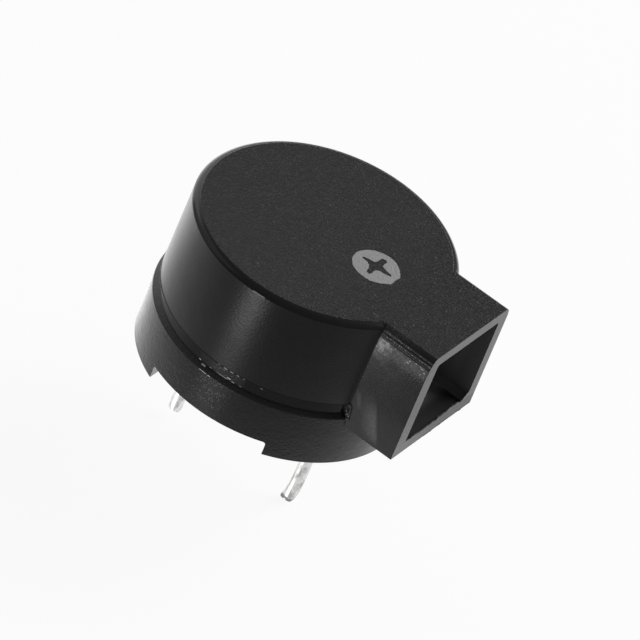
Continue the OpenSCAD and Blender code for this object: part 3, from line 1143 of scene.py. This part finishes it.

# %% [markdown]
# The duct's sides carry painted highlights, drawn by masks of the same kind: a pale sheen along
# the upper edge and at the corner by the case, a slanting highlight low down, a soft one near the
# root, glints along the ridges and a faint paler wash over the side. The masks read the distance
# from the duct's middle, so both sides carry the same painted highlights. These places get a
# paler colour, which is painted highlight, and a rougher face. Each mask is a product of soft
# steps along X and Z, shifted by a drifting noise so that no border runs straight.

# %% Painted highlights on the duct's sides
# Painted highlights: each mask below marks where the duct's sides are painted paler.
slant = x + z * 0.4 + drift * 0.10
corner_highlight = black.rise(x + drift * 0.4, 6.0, 5.15) * black.rise(z + drift * 0.5, 5.8, 6.85)
corner_highlight = corner_highlight * black.rise(z, 7.04, 6.96)
edge_highlight = black.rise(z + drift * 0.3, 6.35, 6.86) * black.rise(z + drift * 0.1, 7.02, 6.94)
ridge_glints = black.band(z, 7.07, 0.006, 0.022) * 0.5 + black.band(z, 7.16, 0.010, 0.028)
ridge_glints = ridge_glints + black.band(z, 7.32, 0.008, 0.028)
slant_highlight = black.rise(slant, 6.75, 7.62) * black.rise(slant, 7.82, 7.62) * black.rise(z, 2.1, 2.7)
slant_highlight = slant_highlight * black.rise(z + drift * 0.8, 4.5, 3.1)
root_highlight = black.band(slant, 6.80, 0.05, 0.12) * black.band(z, 3.68, 0.15, 0.35)
haze = corner_highlight * (0.26 + patchy * 0.40) + edge_highlight * (0.075 + patchy * 0.085)
haze = haze + slant_highlight * (0.115 + grains * 0.075) + root_highlight * 0.055 + black.rise(z, 4.3, 3.2) * 0.022 + 0.012
haze = haze + black.rise(x, 7.2, 5.3) * black.rise(z, 4.9, 6.2) * (0.014 + patchy * 0.030)
sparse = black.rise(x, 5.4, 7.4) * black.band(z, 6.45, 0.1, 0.35) * black.rise(glints, 0.6, 1.0)
bright = edge_highlight * grains * (0.3 + patchy) + ridge_glints * (0.12 + glints)
bright = bright + corner_highlight * grains + sparse * 0.3
BRIGHTEST_HIGHLIGHT = 0.8
duct_highlight = black.math("MINIMUM", (haze + bright * 0.62) * on_duct, BRIGHTEST_HIGHLIGHT)
print("wear on the duct's sides:", len(black.tree.nodes), "nodes so far")

# %% [markdown]
# The relief holds the grains of the top, the wall, the mouth and the duct, with slow lumps under
# them. Painted glints sit along the seam's rim, along the crease of the top edge and on the flash
# tab, and two spots of painted shade stand for pits on the flash tab. They are listed by their
# place, in degrees round the case or as points in space.

# %% Relief, painted glints and painted pit shade of the cap
GRAIN_DEPTH = 0.00003
LUMP_DEPTH = 0.00004

height = (coarse * 0.6 + fine * 0.3 + craters * 0.5) * top_face * 1.2
height = height + coarse * 0.24 * wall + coarse * on_mouth * 0.2
height = height + on_duct * (fine * 0.25 + (edge_highlight + corner_highlight) * grains * 0.3)
relief = black.bump(height, 1.0, GRAIN_DEPTH)
relief = black.bump(lumps * 0.4 + drawn * on_duct * 0.15, 1.0, LUMP_DEPTH, under=relief)

# Painted glints: near-white dashes round the rim and along the crease, and dots on the flash tab. Near-black
# dots on the tab are painted shade of pits.
RIM_Z = 3.185
RIM_GLINTS = (
    (-88.8, 0.3, RIM_Z, 0.012, 0.4), (-85.6, 0.6, RIM_Z, 0.014, 1.0), (-82.7, 0.5, RIM_Z, 0.014, 1.0),
    (-79.8, 0.35, RIM_Z, 0.012, 0.8), (-77.0, 0.3, RIM_Z, 0.01, 0.4), (-85.0, 2.6, EDGE_Z, 0.010, 0.55),
)
FLASH_GLINTS = ((5.10, -3.09, 2.76), (5.20, -3.08, 2.69), (5.02, -3.09, 2.88))
PIT_SHADE_SPOTS = ((5.11, -3.09, 3.03), (5.08, -3.09, 2.93))

turn = black.math("ARCTAN2", y, x)
painted_glints = black.marks(turn, z, RIM_GLINTS) * (0.6 + fine)
painted_glints = painted_glints + black.dots(FLASH_GLINTS, 0.035) * 0.5
hole = black.most_one(black.dots(PIT_SHADE_SPOTS, 0.07))
print("nicks on the cap:", len(RIM_GLINTS) + len(FLASH_GLINTS), "and pits:", len(PIT_SHADE_SPOTS))

# %% [markdown]
# The colours are mixed one over another, from the plain black up to the painted glints and the
# painted shade of the pits. Inside the duct the colour is painted paler, as painted bounce light
# for light that bounces many times between the walls and would otherwise be lost: most on the
# floor deep inside, less on the walls, least on the sill by the mouth. The roughness is a sum
# too. It is lowest on the polished edge and the duct's sides, higher on the wall, the mouth and
# the top, and highest in the passage. The painted highlights, the pits, the sill's face and the
# fringe under the mouth add to it.

# %% Colour and roughness of the cap
PLAIN = grey(0.0085, 0.0003)
GLINT_WHITE = grey(0.95)

tone = black.blend(top_face * speckle, PLAIN, grey(0.0120, 0.0003))
# Painted bounce light: the passage is painted paler, most on its floor deep inside and least on the sill by
# the mouth.
bounce_fill = black.blend(black.rise(x, 7.1, 6.6), grey(0.085, 0.0005), grey(0.11, 0.001))
tone = black.blend(in_duct, tone, bounce_fill)
tone = black.blend(in_duct * on_sill * black.rise(x, 5.9, 7.2), tone, grey(0.016))
tone = black.blend(deep, tone, grey(0.09, 0.002))
tone = black.blend(in_duct * on_sill * black.rise(x, 6.9, 6.1), tone, grey(0.20, 0.002))
# Painted highlight: the duct's sides are mixed towards white.
tone = black.blend(duct_highlight, tone, grey(1.0))
# Painted glints: paler specks on the top.
tone = black.blend(top_glints * 0.6, tone, grey(0.11, 0.002))
# Painted glints in near-white, then painted shade of the pits in near-black.
tone = black.blend(black.most_one(painted_glints), tone, GLINT_WHITE)
tone = black.blend(hole, tone, grey(0.001))

sill_face = on_mouth * black.rise(z, 2.80, 2.70) * black.rise(y, -2.0, 1.0)
fringe = on_mouth * black.rise(z + drift * 0.2, DUCT_Z + 0.06, DUCT_Z + 0.02)
rough = 0.20 + top_face * 0.16 + wall * 0.06 + on_mouth * 0.10
rough = rough + in_duct * (0.3 - on_sill * 0.10) + fine * 0.06
rough = rough - top_face * black.rise(x, 1.0, 6.0) * 0.05
rough = rough + duct_highlight + hole * 0.5 + sill_face * 0.08 + fringe * 0.4
black.show(Base_Color=tone, Roughness=rough, Normal=relief)
black.on(cap)

# %% [markdown]
# ## The base's glossier black
#
# The base comes from another mould, with smoother walls. It is glossier, and its surface has
# the slight orange peel of thick plastic that shrank as it cooled. Two soft noises of different
# sizes give that, and a fine one roughens it a little. The collar is calmer than the flange, and
# the ledge between them is painted a shade paler, as painted fill light in its shade.

# %% Relief and roughness of the base
# The angle round the case where the low lamp's highlight falls.
HIGHLIGHT_AT = -88

gloss_black = Finish("base black plastic", IOR=PLASTIC_IOR)
peel = gloss_black.noise(0.28, 2.0, 0.55)
waves = gloss_black.noise(0.9, 1.0, 0.5)
dust = gloss_black.noise(0.10, 2.0, 0.6)
collar = gloss_black.rise(gloss_black.z, LEDGE_Z - 0.02, LEDGE_Z + 0.03)
shade = gloss_black.blend(waves, PLAIN, grey(0.0115, 0.0003))
turn = gloss_black.math("ARCTAN2", gloss_black.y, gloss_black.x)
height = (peel * 0.22 + waves * 0.25 + dust * 0.45) * (1 - collar * 0.85)
relief = gloss_black.bump(height, 1.0, GRAIN_DEPTH)
scraped = collar * gloss_black.sector(turn, HIGHLIGHT_AT, 8, 6)
rough = 0.20 + dust * 0.1 - collar * 0.09 + scraped * 0.32
# Painted fill light: the shaded ledge is painted a shade paler.
ledge = gloss_black.rise(gloss_black.z, FLANGE_Z - 0.04, FLANGE_Z) * (1 - collar)
shade = gloss_black.blend(ledge, shade, grey(0.026, 0.0003))
print("relief of the base:", len(gloss_black.tree.nodes), "nodes so far")

# %% [markdown]
# Along the seam the flash was scraped away, which leaves a rougher stretch of the collar. The
# bright marks there are painted: a few near-white painted glints, which are listed by their place,
# fine painted glints on that stretch of the collar, and a painted sparkle in the highlight on the
# flange below it.

# %% Painted glints and colour of the base
# Painted glints along the seam, the collar's foot and the flange's edge.
SEAM_GLINTS = (
    (-98.3, 0.4, 2.665, 0.012, 0.9), (-95.4, 0.8, 2.60, 0.012, 0.8), (-92.3, 0.3, 2.665, 0.01, 0.4),
    (-88.8, 0.2, 2.67, 0.01, 0.4), (-85.8, 2.1, 2.665, 0.008, 0.6), (-83.2, 0.7, 2.73, 0.016, 1.0),
    (-81.0, 0.4, 2.67, 0.012, 0.8), (-77.5, 0.3, 2.665, 0.01, 0.5), (-93.8, 1.6, 2.462, 0.008, 0.9),
    (-90.6, 0.4, 2.462, 0.01, 0.8), (-69.0, 0.25, 3.0, 0.01, 0.4), (-86.5, 0.25, 2.95, 0.01, 0.3),
)
painted_glints = gloss_black.marks(turn, gloss_black.z, SEAM_GLINTS) * (0.6 + dust)
painted_glints = painted_glints + gloss_black.dots([(5.18, -3.05, 2.45)], 0.06) * 0.5
# Painted sparkle: paler grains in the flange's highlight.
flange_sparkle = gloss_black.sector(turn, HIGHLIGHT_AT, 4, 5) * gloss_black.band(gloss_black.z, 1.7, 0.4, 0.7)
flange_sparkle = flange_sparkle * gloss_black.rise(gloss_black.cells(0.09), 0.5, 0.12)
flange_sparkle = flange_sparkle * gloss_black.rise(peel, 0.40, 0.56)
shade = gloss_black.blend(flange_sparkle, shade, grey(0.22))
# Painted glints: paler flecks on the collar.
collar_glints = collar * gloss_black.sector(turn, HIGHLIGHT_AT + 2, 4, 4)
collar_glints = collar_glints * gloss_black.rise(gloss_black.cells(0.08), 0.30, 0.12)
shade = gloss_black.blend(collar_glints * 0.6, shade, grey(0.5))
shade = gloss_black.blend(gloss_black.most_one(painted_glints), shade, GLINT_WHITE)
gloss_black.show(Base_Color=shade, Roughness=rough, Normal=relief)
gloss_black.on(base)

# %% [markdown]
# ## Printed ink
#
# The ink is a thin matt grey film. The grain of the plastic shows through it, its cover is a
# little uneven, and a few grains stay bare or bright. The grain has the same size as on the
# cap, so that the two read as one surface.

# %% Finish of the print
ink = Finish("grey ink", IOR=1.45, Specular_IOR_Level=0.35)
coarse = ink.noise(0.09, 2.0, 0.6)
pits = ink.cells(0.11)
cover = ink.noise(0.4, 2.0, 0.6)
bare = ink.rise(ink.cells(0.23), 0.09, 0.04)
tone = ink.blend(cover, grey(0.325), grey(0.385))
tone = ink.blend(ink.rise(coarse, 0.35, 0.7) * 0.35, tone, grey(0.45))
tone = ink.blend(bare * 0.6, tone, grey(0.12))
relief = ink.bump(coarse * 0.7 + pits * 0.4, 1.0, GRAIN_DEPTH)
ink.show(Base_Color=tone, Roughness=0.5 + cover * 0.15, Normal=relief)
ink.on(mark)

# %% [markdown]
# ## Tinned wire
#
# The pins are plain wire with a skin of tin. Drawing the wire leaves lengthwise lines,
# and the tin has dull and bright patches. A noise stretched along Z gives both the lines in the
# relief and the streaks in the colour. One side of each wire carries a painted highlight, a bright
# line placed by the angle round the wire. The front wire is bent, so the angle is taken
# round a line that leans with it. The cut ends are darker and rougher.

# %% Finish of the pins
LEAN_X, LEAN_Y = 0.035, 0.018

tin = Finish("tinned wire", Metallic=1.0)
lines = tin.noise(0.07, 2.0, 0.5, at=tin.stretch((1, 1, 0.05)))
patches = tin.noise(0.22, 2.0, 0.6, at=tin.stretch((1, 1, 0.55)))
nicks = tin.noise(0.06, 2.0, 0.6)
in_front = tin.rise(tin.x, -0.1, 0.1)
from_x = tin.x + PIN_X - in_front * (2 * PIN_X - 0.01 + tin.z * LEAN_X)
from_y = tin.y - in_front * tin.z * LEAN_Y
turn = tin.math("ARCTAN2", from_y, from_x)
# Painted highlight: a near-white line down one side of each wire, at a fixed angle round it.
glint = tin.sector(turn, -92, 9, 11)
glint = glint * tin.rise(tin.noise(0.45, 2.0, 0.6, at=tin.stretch((1, 1, 0.4))), 0.30, 0.48)
cut_end = tin.rise(tin.z + patches * 0.22, -4.88, -4.98)
tint = tin.blend(tin.rise(patches, 0.36, 0.62), grey(0.30), grey(0.56, -0.005))
tint = tin.blend(tin.rise(lines, 0.55, 0.72) * 0.5, tint, grey(0.24))
tint = tin.blend(glint, tint, grey(0.98, -0.01))
tint = tin.blend(cut_end * 0.9, tint, grey(0.13))
relief = tin.bump(lines * 0.8 + nicks * 0.35 + cut_end * nicks * 0.8, 0.6, 0.00002)
tin.show(Base_Color=tint, Roughness=0.24 + patches * 0.2 + cut_end * 0.12, Normal=relief)
tin.on(front_pin, rear_pin)

# %% [markdown]
# ## Cast resin
#
# The resin is nearly black, glossy, and sets with a slightly wavy face with a few tiny bubbles.

# %% Finish of the resin
cast = Finish("dark resin", IOR=1.52, Specular_IOR_Level=0.5)
swell = cast.noise(1.6, 1.0, 0.4)
bubbles = cast.rise(cast.cells(0.8), 0.09, 0.05)
deep = cast.blend(swell, (0.012, 0.009, 0.006), (0.026, 0.019, 0.012))
relief = cast.bump(swell - bubbles * 0.3, 0.5, 0.00006)
cast.show(Base_Color=deep, Roughness=0.12 + bubbles * 0.25 + swell * 0.06, Normal=relief)
cast.on(resin)

# %% [markdown]
# ## Finishes of the works inside
#
# The works can be seen only with the cap off, but each has its own stuff: rolled spring steel,
# plated soft iron, sintered ferrite, uncoloured plastic, enamelled copper wire, brown laminate
# and solder. The CAD shapes are right, so they keep their meshes and only get a finish.

# %% Metals of the drive
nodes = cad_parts

spring = Finish("rolled steel", Metallic=1.0)
rolled = spring.noise(0.08, 2.0, 0.5, at=spring.stretch((0.08, 1, 1)))
haze = spring.noise(1.2, 2.0, 0.5)
steel = spring.blend(haze, (0.42, 0.43, 0.44), (0.60, 0.61, 0.62))
spring.show(Base_Color=steel, Roughness=0.24 + rolled * 0.2, Normal=spring.bump(rolled, 0.3, 0.000005))
spring.on(nodes["diaphragm"])

iron = Finish("plated iron", Metallic=1.0)
plating = iron.noise(0.3, 3.0, 0.6)
scuffs = iron.noise(0.06, 2.0, 0.6, at=iron.stretch((1, 0.15, 1), (0, 0, 0.5)))
dull = iron.blend(plating, (0.34, 0.35, 0.36), (0.58, 0.59, 0.60))
relief = iron.bump(plating + scuffs * 0.4, 0.4)
iron.show(Base_Color=dull, Roughness=0.3 + plating * 0.25, Normal=relief)
iron.on(nodes["armature"], nodes["yoke_plate"], nodes["pole_core"])

sinter = Finish("sintered ferrite", IOR=2.0)
grains = sinter.noise(0.07, 3.0, 0.7)
grinding = sinter.noise(0.05, 1.0, 0.5, at=sinter.stretch((0.1, 1, 1)))
flat_face = sinter.band(sinter.z, 4.70, 0.004, 0.004)
baked = sinter.blend(grains, grey(0.035, 0.003), grey(0.085, 0.005))
relief = sinter.bump(grains * (1 - flat_face) + grinding * flat_face, 0.5)
sinter.show(Base_Color=baked, Roughness=0.45 + grains * 0.2, Normal=relief)
sinter.on(nodes["magnet"])

# %% [markdown]
# The windings are each one solid ring in the CAD. Their turns are too fine and too many to
# model, so a wave along Z with the wire's pitch gives them: round backs in the relief, and painted
# shade in the gaps between turns. Layers wander a little, which a slow noise added to the height
# gives.

# %% Copper, plastic and laminate
WIRE_PITCH = 0.07

copper = Finish("enamelled copper", Metallic=0.75, Coat_IOR=1.5, Coat_Roughness=0.15, Coat_Weight=0.6)
sway = copper.noise(1.1, 1.0, 0.5)
turns = copper.math("SINE", (copper.z + sway * 0.05) * (2 * math.pi / WIRE_PITCH))
backs = turns * 0.5 + 0.5
# Painted shade: the colour darkens in the gaps between turns.
warm = copper.blend(backs, (0.20, 0.055, 0.02), (0.62, 0.24, 0.10))
warm = copper.blend(copper.noise(0.5, 2.0, 0.5) * 0.4, warm, (0.42, 0.13, 0.05))
copper.show(Base_Color=warm, Roughness=0.42 - backs * 0.14, Normal=copper.bump(backs ** 0.5, 0.6, 0.00003))
copper.on(nodes["drive_winding"], nodes["sense_winding"], nodes["coil_leads"])

natural = Finish("uncoloured plastic", IOR=PLASTIC_IOR, Subsurface_Weight=0.1, Subsurface_Scale=0.0004)
cloud = natural.noise(1.5, 2.0, 0.5)
skin = natural.noise(0.08, 2.0, 0.5)
cream = natural.blend(cloud, (0.72, 0.68, 0.57), (0.82, 0.79, 0.70))
natural.show(Base_Color=cream, Roughness=0.38 + skin * 0.15, Normal=natural.bump(skin, 0.3))
natural.on(nodes["support_ring"], nodes["bobbin"])

laminate = Finish("board laminate", IOR=1.5)
paper = laminate.noise(0.25, 3.0, 0.6, at=laminate.stretch((0.3, 1, 1)))
cut_side = laminate.noise(0.06, 2.0, 0.6, at=laminate.stretch((0.3, 0.3, 2)))
brown = laminate.blend(paper, (0.32, 0.19, 0.08), (0.46, 0.31, 0.15))
relief = laminate.bump(paper + cut_side * 0.5, 0.4)
laminate.show(Base_Color=brown, Roughness=0.4 + paper * 0.2, Normal=relief)
laminate.on(nodes["circuit_board"])

# %% [markdown]
# The three small parts below the board have black bodies and tinned ends. One shader does both:
# the tabs lie against the board, within an eighth of a millimetre of it and outside the
# bodies, and the resistor's two ends are capped with tin.

# %% Small parts and solder
chips = Finish("component body", IOR=PLASTIC_IOR)
tabs = chips.rise(chips.z, BOARD_Z - 0.125, BOARD_Z - 0.115)
away_t = chips.math("ABSOLUTE", chips.y - 2.45)
away_d = chips.math("ABSOLUTE", chips.x)
of_transistor = chips.rise(chips.y, 1.0, 1.05) * chips.rise(away_t, 0.655, 0.665)
of_diode = chips.band(chips.y, -0.35, 0.7, 0.02) * chips.rise(away_d, 0.855, 0.865)
of_resistor = chips.band(chips.y, -1.5, 0.45, 0.02) * chips.rise(away_d, 0.56, 0.58)
tinned = chips.most_one(tabs * (of_transistor + of_diode) + of_resistor)
speckle = chips.noise(0.05, 3.0, 0.6)
body_black = chips.blend(speckle, grey(0.012, 0.001), grey(0.03, 0.001))
mixed = chips.blend(tinned, body_black, grey(0.72, -0.01))
relief = chips.bump(speckle, 0.4, 0.000008)
chips.show(Base_Color=mixed, Metallic=tinned, Roughness=0.5 - tinned * 0.22, Normal=relief)
chips.on(nodes["transistor"], nodes["diode"], nodes["resistor"])

joint = Finish("soft solder", Metallic=1.0)
frost = joint.noise(0.12, 3.0, 0.6)
flow = joint.noise(0.6, 1.0, 0.5)
bright = joint.blend(frost, grey(0.58, 0.01), grey(0.80, -0.01))
relief = joint.bump(flow + frost * 0.2, 0.5, 0.00002)
joint.show(Base_Color=bright, Roughness=0.16 + frost * 0.18, Normal=relief)
joint.on(nodes["positive_solder"], nodes["negative_solder"], nodes["lead_solder"])

# %% [markdown]
# The CAD nodes that stand behind the detailed pieces are hidden, but they keep a finish of the
# same kind, so that nothing in the file is left plain.

# %% Finish the hidden nodes
black.on(nodes["cap"])
gloss_black.on(nodes["base"])
ink.on(nodes["polarity_mark"])
tin.on(nodes["positive_pin"], nodes["negative_pin"])
cast.on(nodes["resin_seal"])

# %% [markdown]
# ## Floor
#
# The pins stand on a plain white floor. For the camera it glows at strength 1, so that it stays
# white, and a share of plain diffuse white in it keeps the object's soft shadow. A small gap
# under the pins keeps them clear of it.

# %% Lay the floor
FLOOR_GAP = 0.02

bpy.ops.object.select_all(action="DESELECT")
bpy.ops.mesh.primitive_plane_add(size=4, location=(0, 0, (PIN_Z - FLOOR_GAP) * MM))
floor = named(bpy.context.object, "floor")
bpy.ops.object.transform_apply(location=True, rotation=True, scale=True)
print("floor at", round(floor.data.vertices[0].co.z / MM, 3), "mm")

# %% [markdown]
# Black plastic shows mostly what it reflects, so mirror rays see the floor too: bright behind the
# object and greyer in front, as the light falls off towards the viewer. It is brighter again
# close to the object, and along a lane in front, where the low lamp would light it. From below
# the floor is clear, so that a camera under it sees the pins and the resin. The brightness
# behind is above 1, which a colour ramp can't hold, so the ramp stores half of it.

# %% What the floor shows to each kind of ray
ground = Finish("white floor")
path = ground.tree.nodes.new("ShaderNodeLightPath")
eye = Wire(ground, path.outputs["Is Camera Ray"])
glossy = Wire(ground, path.outputs["Is Glossy Ray"])
clear = Wire(ground, path.outputs["Is Transmission Ray"])
ahead = ground.x * 0.4 - ground.y
far = ground.math("SQRT", ground.x * ground.x + ground.y * ground.y)
FALL = (
    (-14, 1.65), (-10, 1.28), (-5, 0.82), (1, 0.60), (7, 0.47), (12.5, 0.335), (16, 0.29), (20.5, 0.22),
)
RAMP_SHARE = 0.5
EYE_SHARE = 0.92
LANE_AT = -99
near, reach = FALL[0][0], FALL[-1][0] - FALL[0][0]
stops = [((place - near) / reach, (level * RAMP_SHARE,) * 3) for place, level in FALL]
fall = ground.node("ShaderNodeValToRGB", {"stops": stops}, {"Fac": (ahead - near) / reach})
fall = ground.math("MINIMUM", fall / RAMP_SHARE, ground.rise(ground.x, -6.0, 6.0, (2.0, 1.14)))
shine = fall * (ground.rise(far, 11.0, 17.0, (1.75, 1.0)) + ground.rise(far, 11.4, 12.8, (0.5, 0.0)))
lane = ground.sector(ground.math("ARCTAN2", ground.y, ground.x), LANE_AT, 4, 9)
shine = shine + lane * ground.rise(ahead, 8.0, 12.0) * 0.35
seen = eye + clear + glossy * shine
glow = ground.node("ShaderNodeEmission", {}, {"Color": seen, "Strength": 1.0})
ground.show(Base_Color=grey(0.95), Roughness=1.0, Specular_IOR_Level=0.0)
body = Wire(ground, ground.surface.outputs[0])
share = eye * EYE_SHARE + clear + glossy
floor_mix = ground.node("ShaderNodeMixShader", {}, {0: share, 1: body, 2: glow})
from_below = ground.node("ShaderNodeNewGeometry", out="Backfacing")
air_gap = ground.node("ShaderNodeBsdfTransparent")
floor_mix = ground.node("ShaderNodeMixShader", {}, {0: from_below, 1: floor_mix, 2: air_gap})
ground.tree.links.new(floor_mix.socket, ground.tree.nodes["Material Output"].inputs["Surface"])
ground.on(floor)

# %% [markdown]
# ## Light
#
# Three large soft lamps give the diffuse light, two from the left and one from the right. They
# stay out of the strip of sky that the rounded top edge mirrors, from the viewer over the
# zenith to the back, so that the edge reads as a dark band. A small bright lamp near the floor,
# in front and to the left, puts the narrow highlight on the walls and some glints on their
# edges, beside the painted glints. It is linked to the pieces alone, so that it leaves no bright
# patch on the floor. The world is white to the camera and dim to every other ray, because the
# black top mirrors a room.

# %% World
DIM_ROOM = 0.15

world = bpy.data.worlds.new("room")
bpy.context.scene.world = world
world.use_nodes = True
air = world.node_tree
background = air.nodes["Background"]
background.inputs["Color"].default_value = (1, 1, 1, 1)
to_eye = air.nodes.new("ShaderNodeLightPath").outputs["Is Camera Ray"]
level = air.nodes.new("ShaderNodeMapRange")
level.inputs["To Min"].default_value = DIM_ROOM
level.inputs["To Max"].default_value = 1.0
air.links.new(to_eye, level.inputs["Value"])
air.links.new(level.outputs["Result"], background.inputs["Strength"])
print("world at", DIM_ROOM, "for all but the camera")

# %% Lamps
CENTRE = Vector((0.5, 0, 1)) * MM
FAR_OFF = 0.30


def soft_lamp(name, azimuth, elevation, distance, size, radiance):
    """A lamp aimed at the object: size is its width and height, radiance how bright it looks."""
    data = bpy.data.lights.new(name, "AREA")
    data.shape = "RECTANGLE"
    data.size, data.size_y = size
    data.energy = radiance * math.pi * size[0] * size[1]
    lamp = bpy.data.objects.new(name, data)
    bpy.context.scene.collection.objects.link(lamp)
    a, e = math.radians(azimuth), math.radians(elevation)
    out = Vector((math.cos(a) * math.cos(e), math.sin(a) * math.cos(e), math.sin(e)))
    lamp.location = CENTRE + out * distance
    lamp.rotation_euler = out.to_track_quat("Z", "Y").to_euler()
    print(name, "at", [round(c, 3) for c in lamp.location], "energy", round(data.energy, 5))
    return lamp


soft_lamp("left_lamp", 142, 20, FAR_OFF, (0.24, 0.24), 0.95)
soft_lamp("side_lamp", -170, 36, FAR_OFF, (0.26, 0.24), 0.28)
soft_lamp("right_lamp", 58, 30, FAR_OFF, (0.22, 0.20), 6.4)
low_lamp = soft_lamp("low_lamp", -99, -12.5, 0.0245, (0.005, 0.0015), 12.5)
low_lamp.visible_camera = False
lit_pieces = bpy.data.collections.new("lit by the low lamp")
for piece in (cap, base, mark, front_pin, rear_pin):
    lit_pieces.objects.link(piece)
low_lamp.light_linking.receiver_collection = lit_pieces
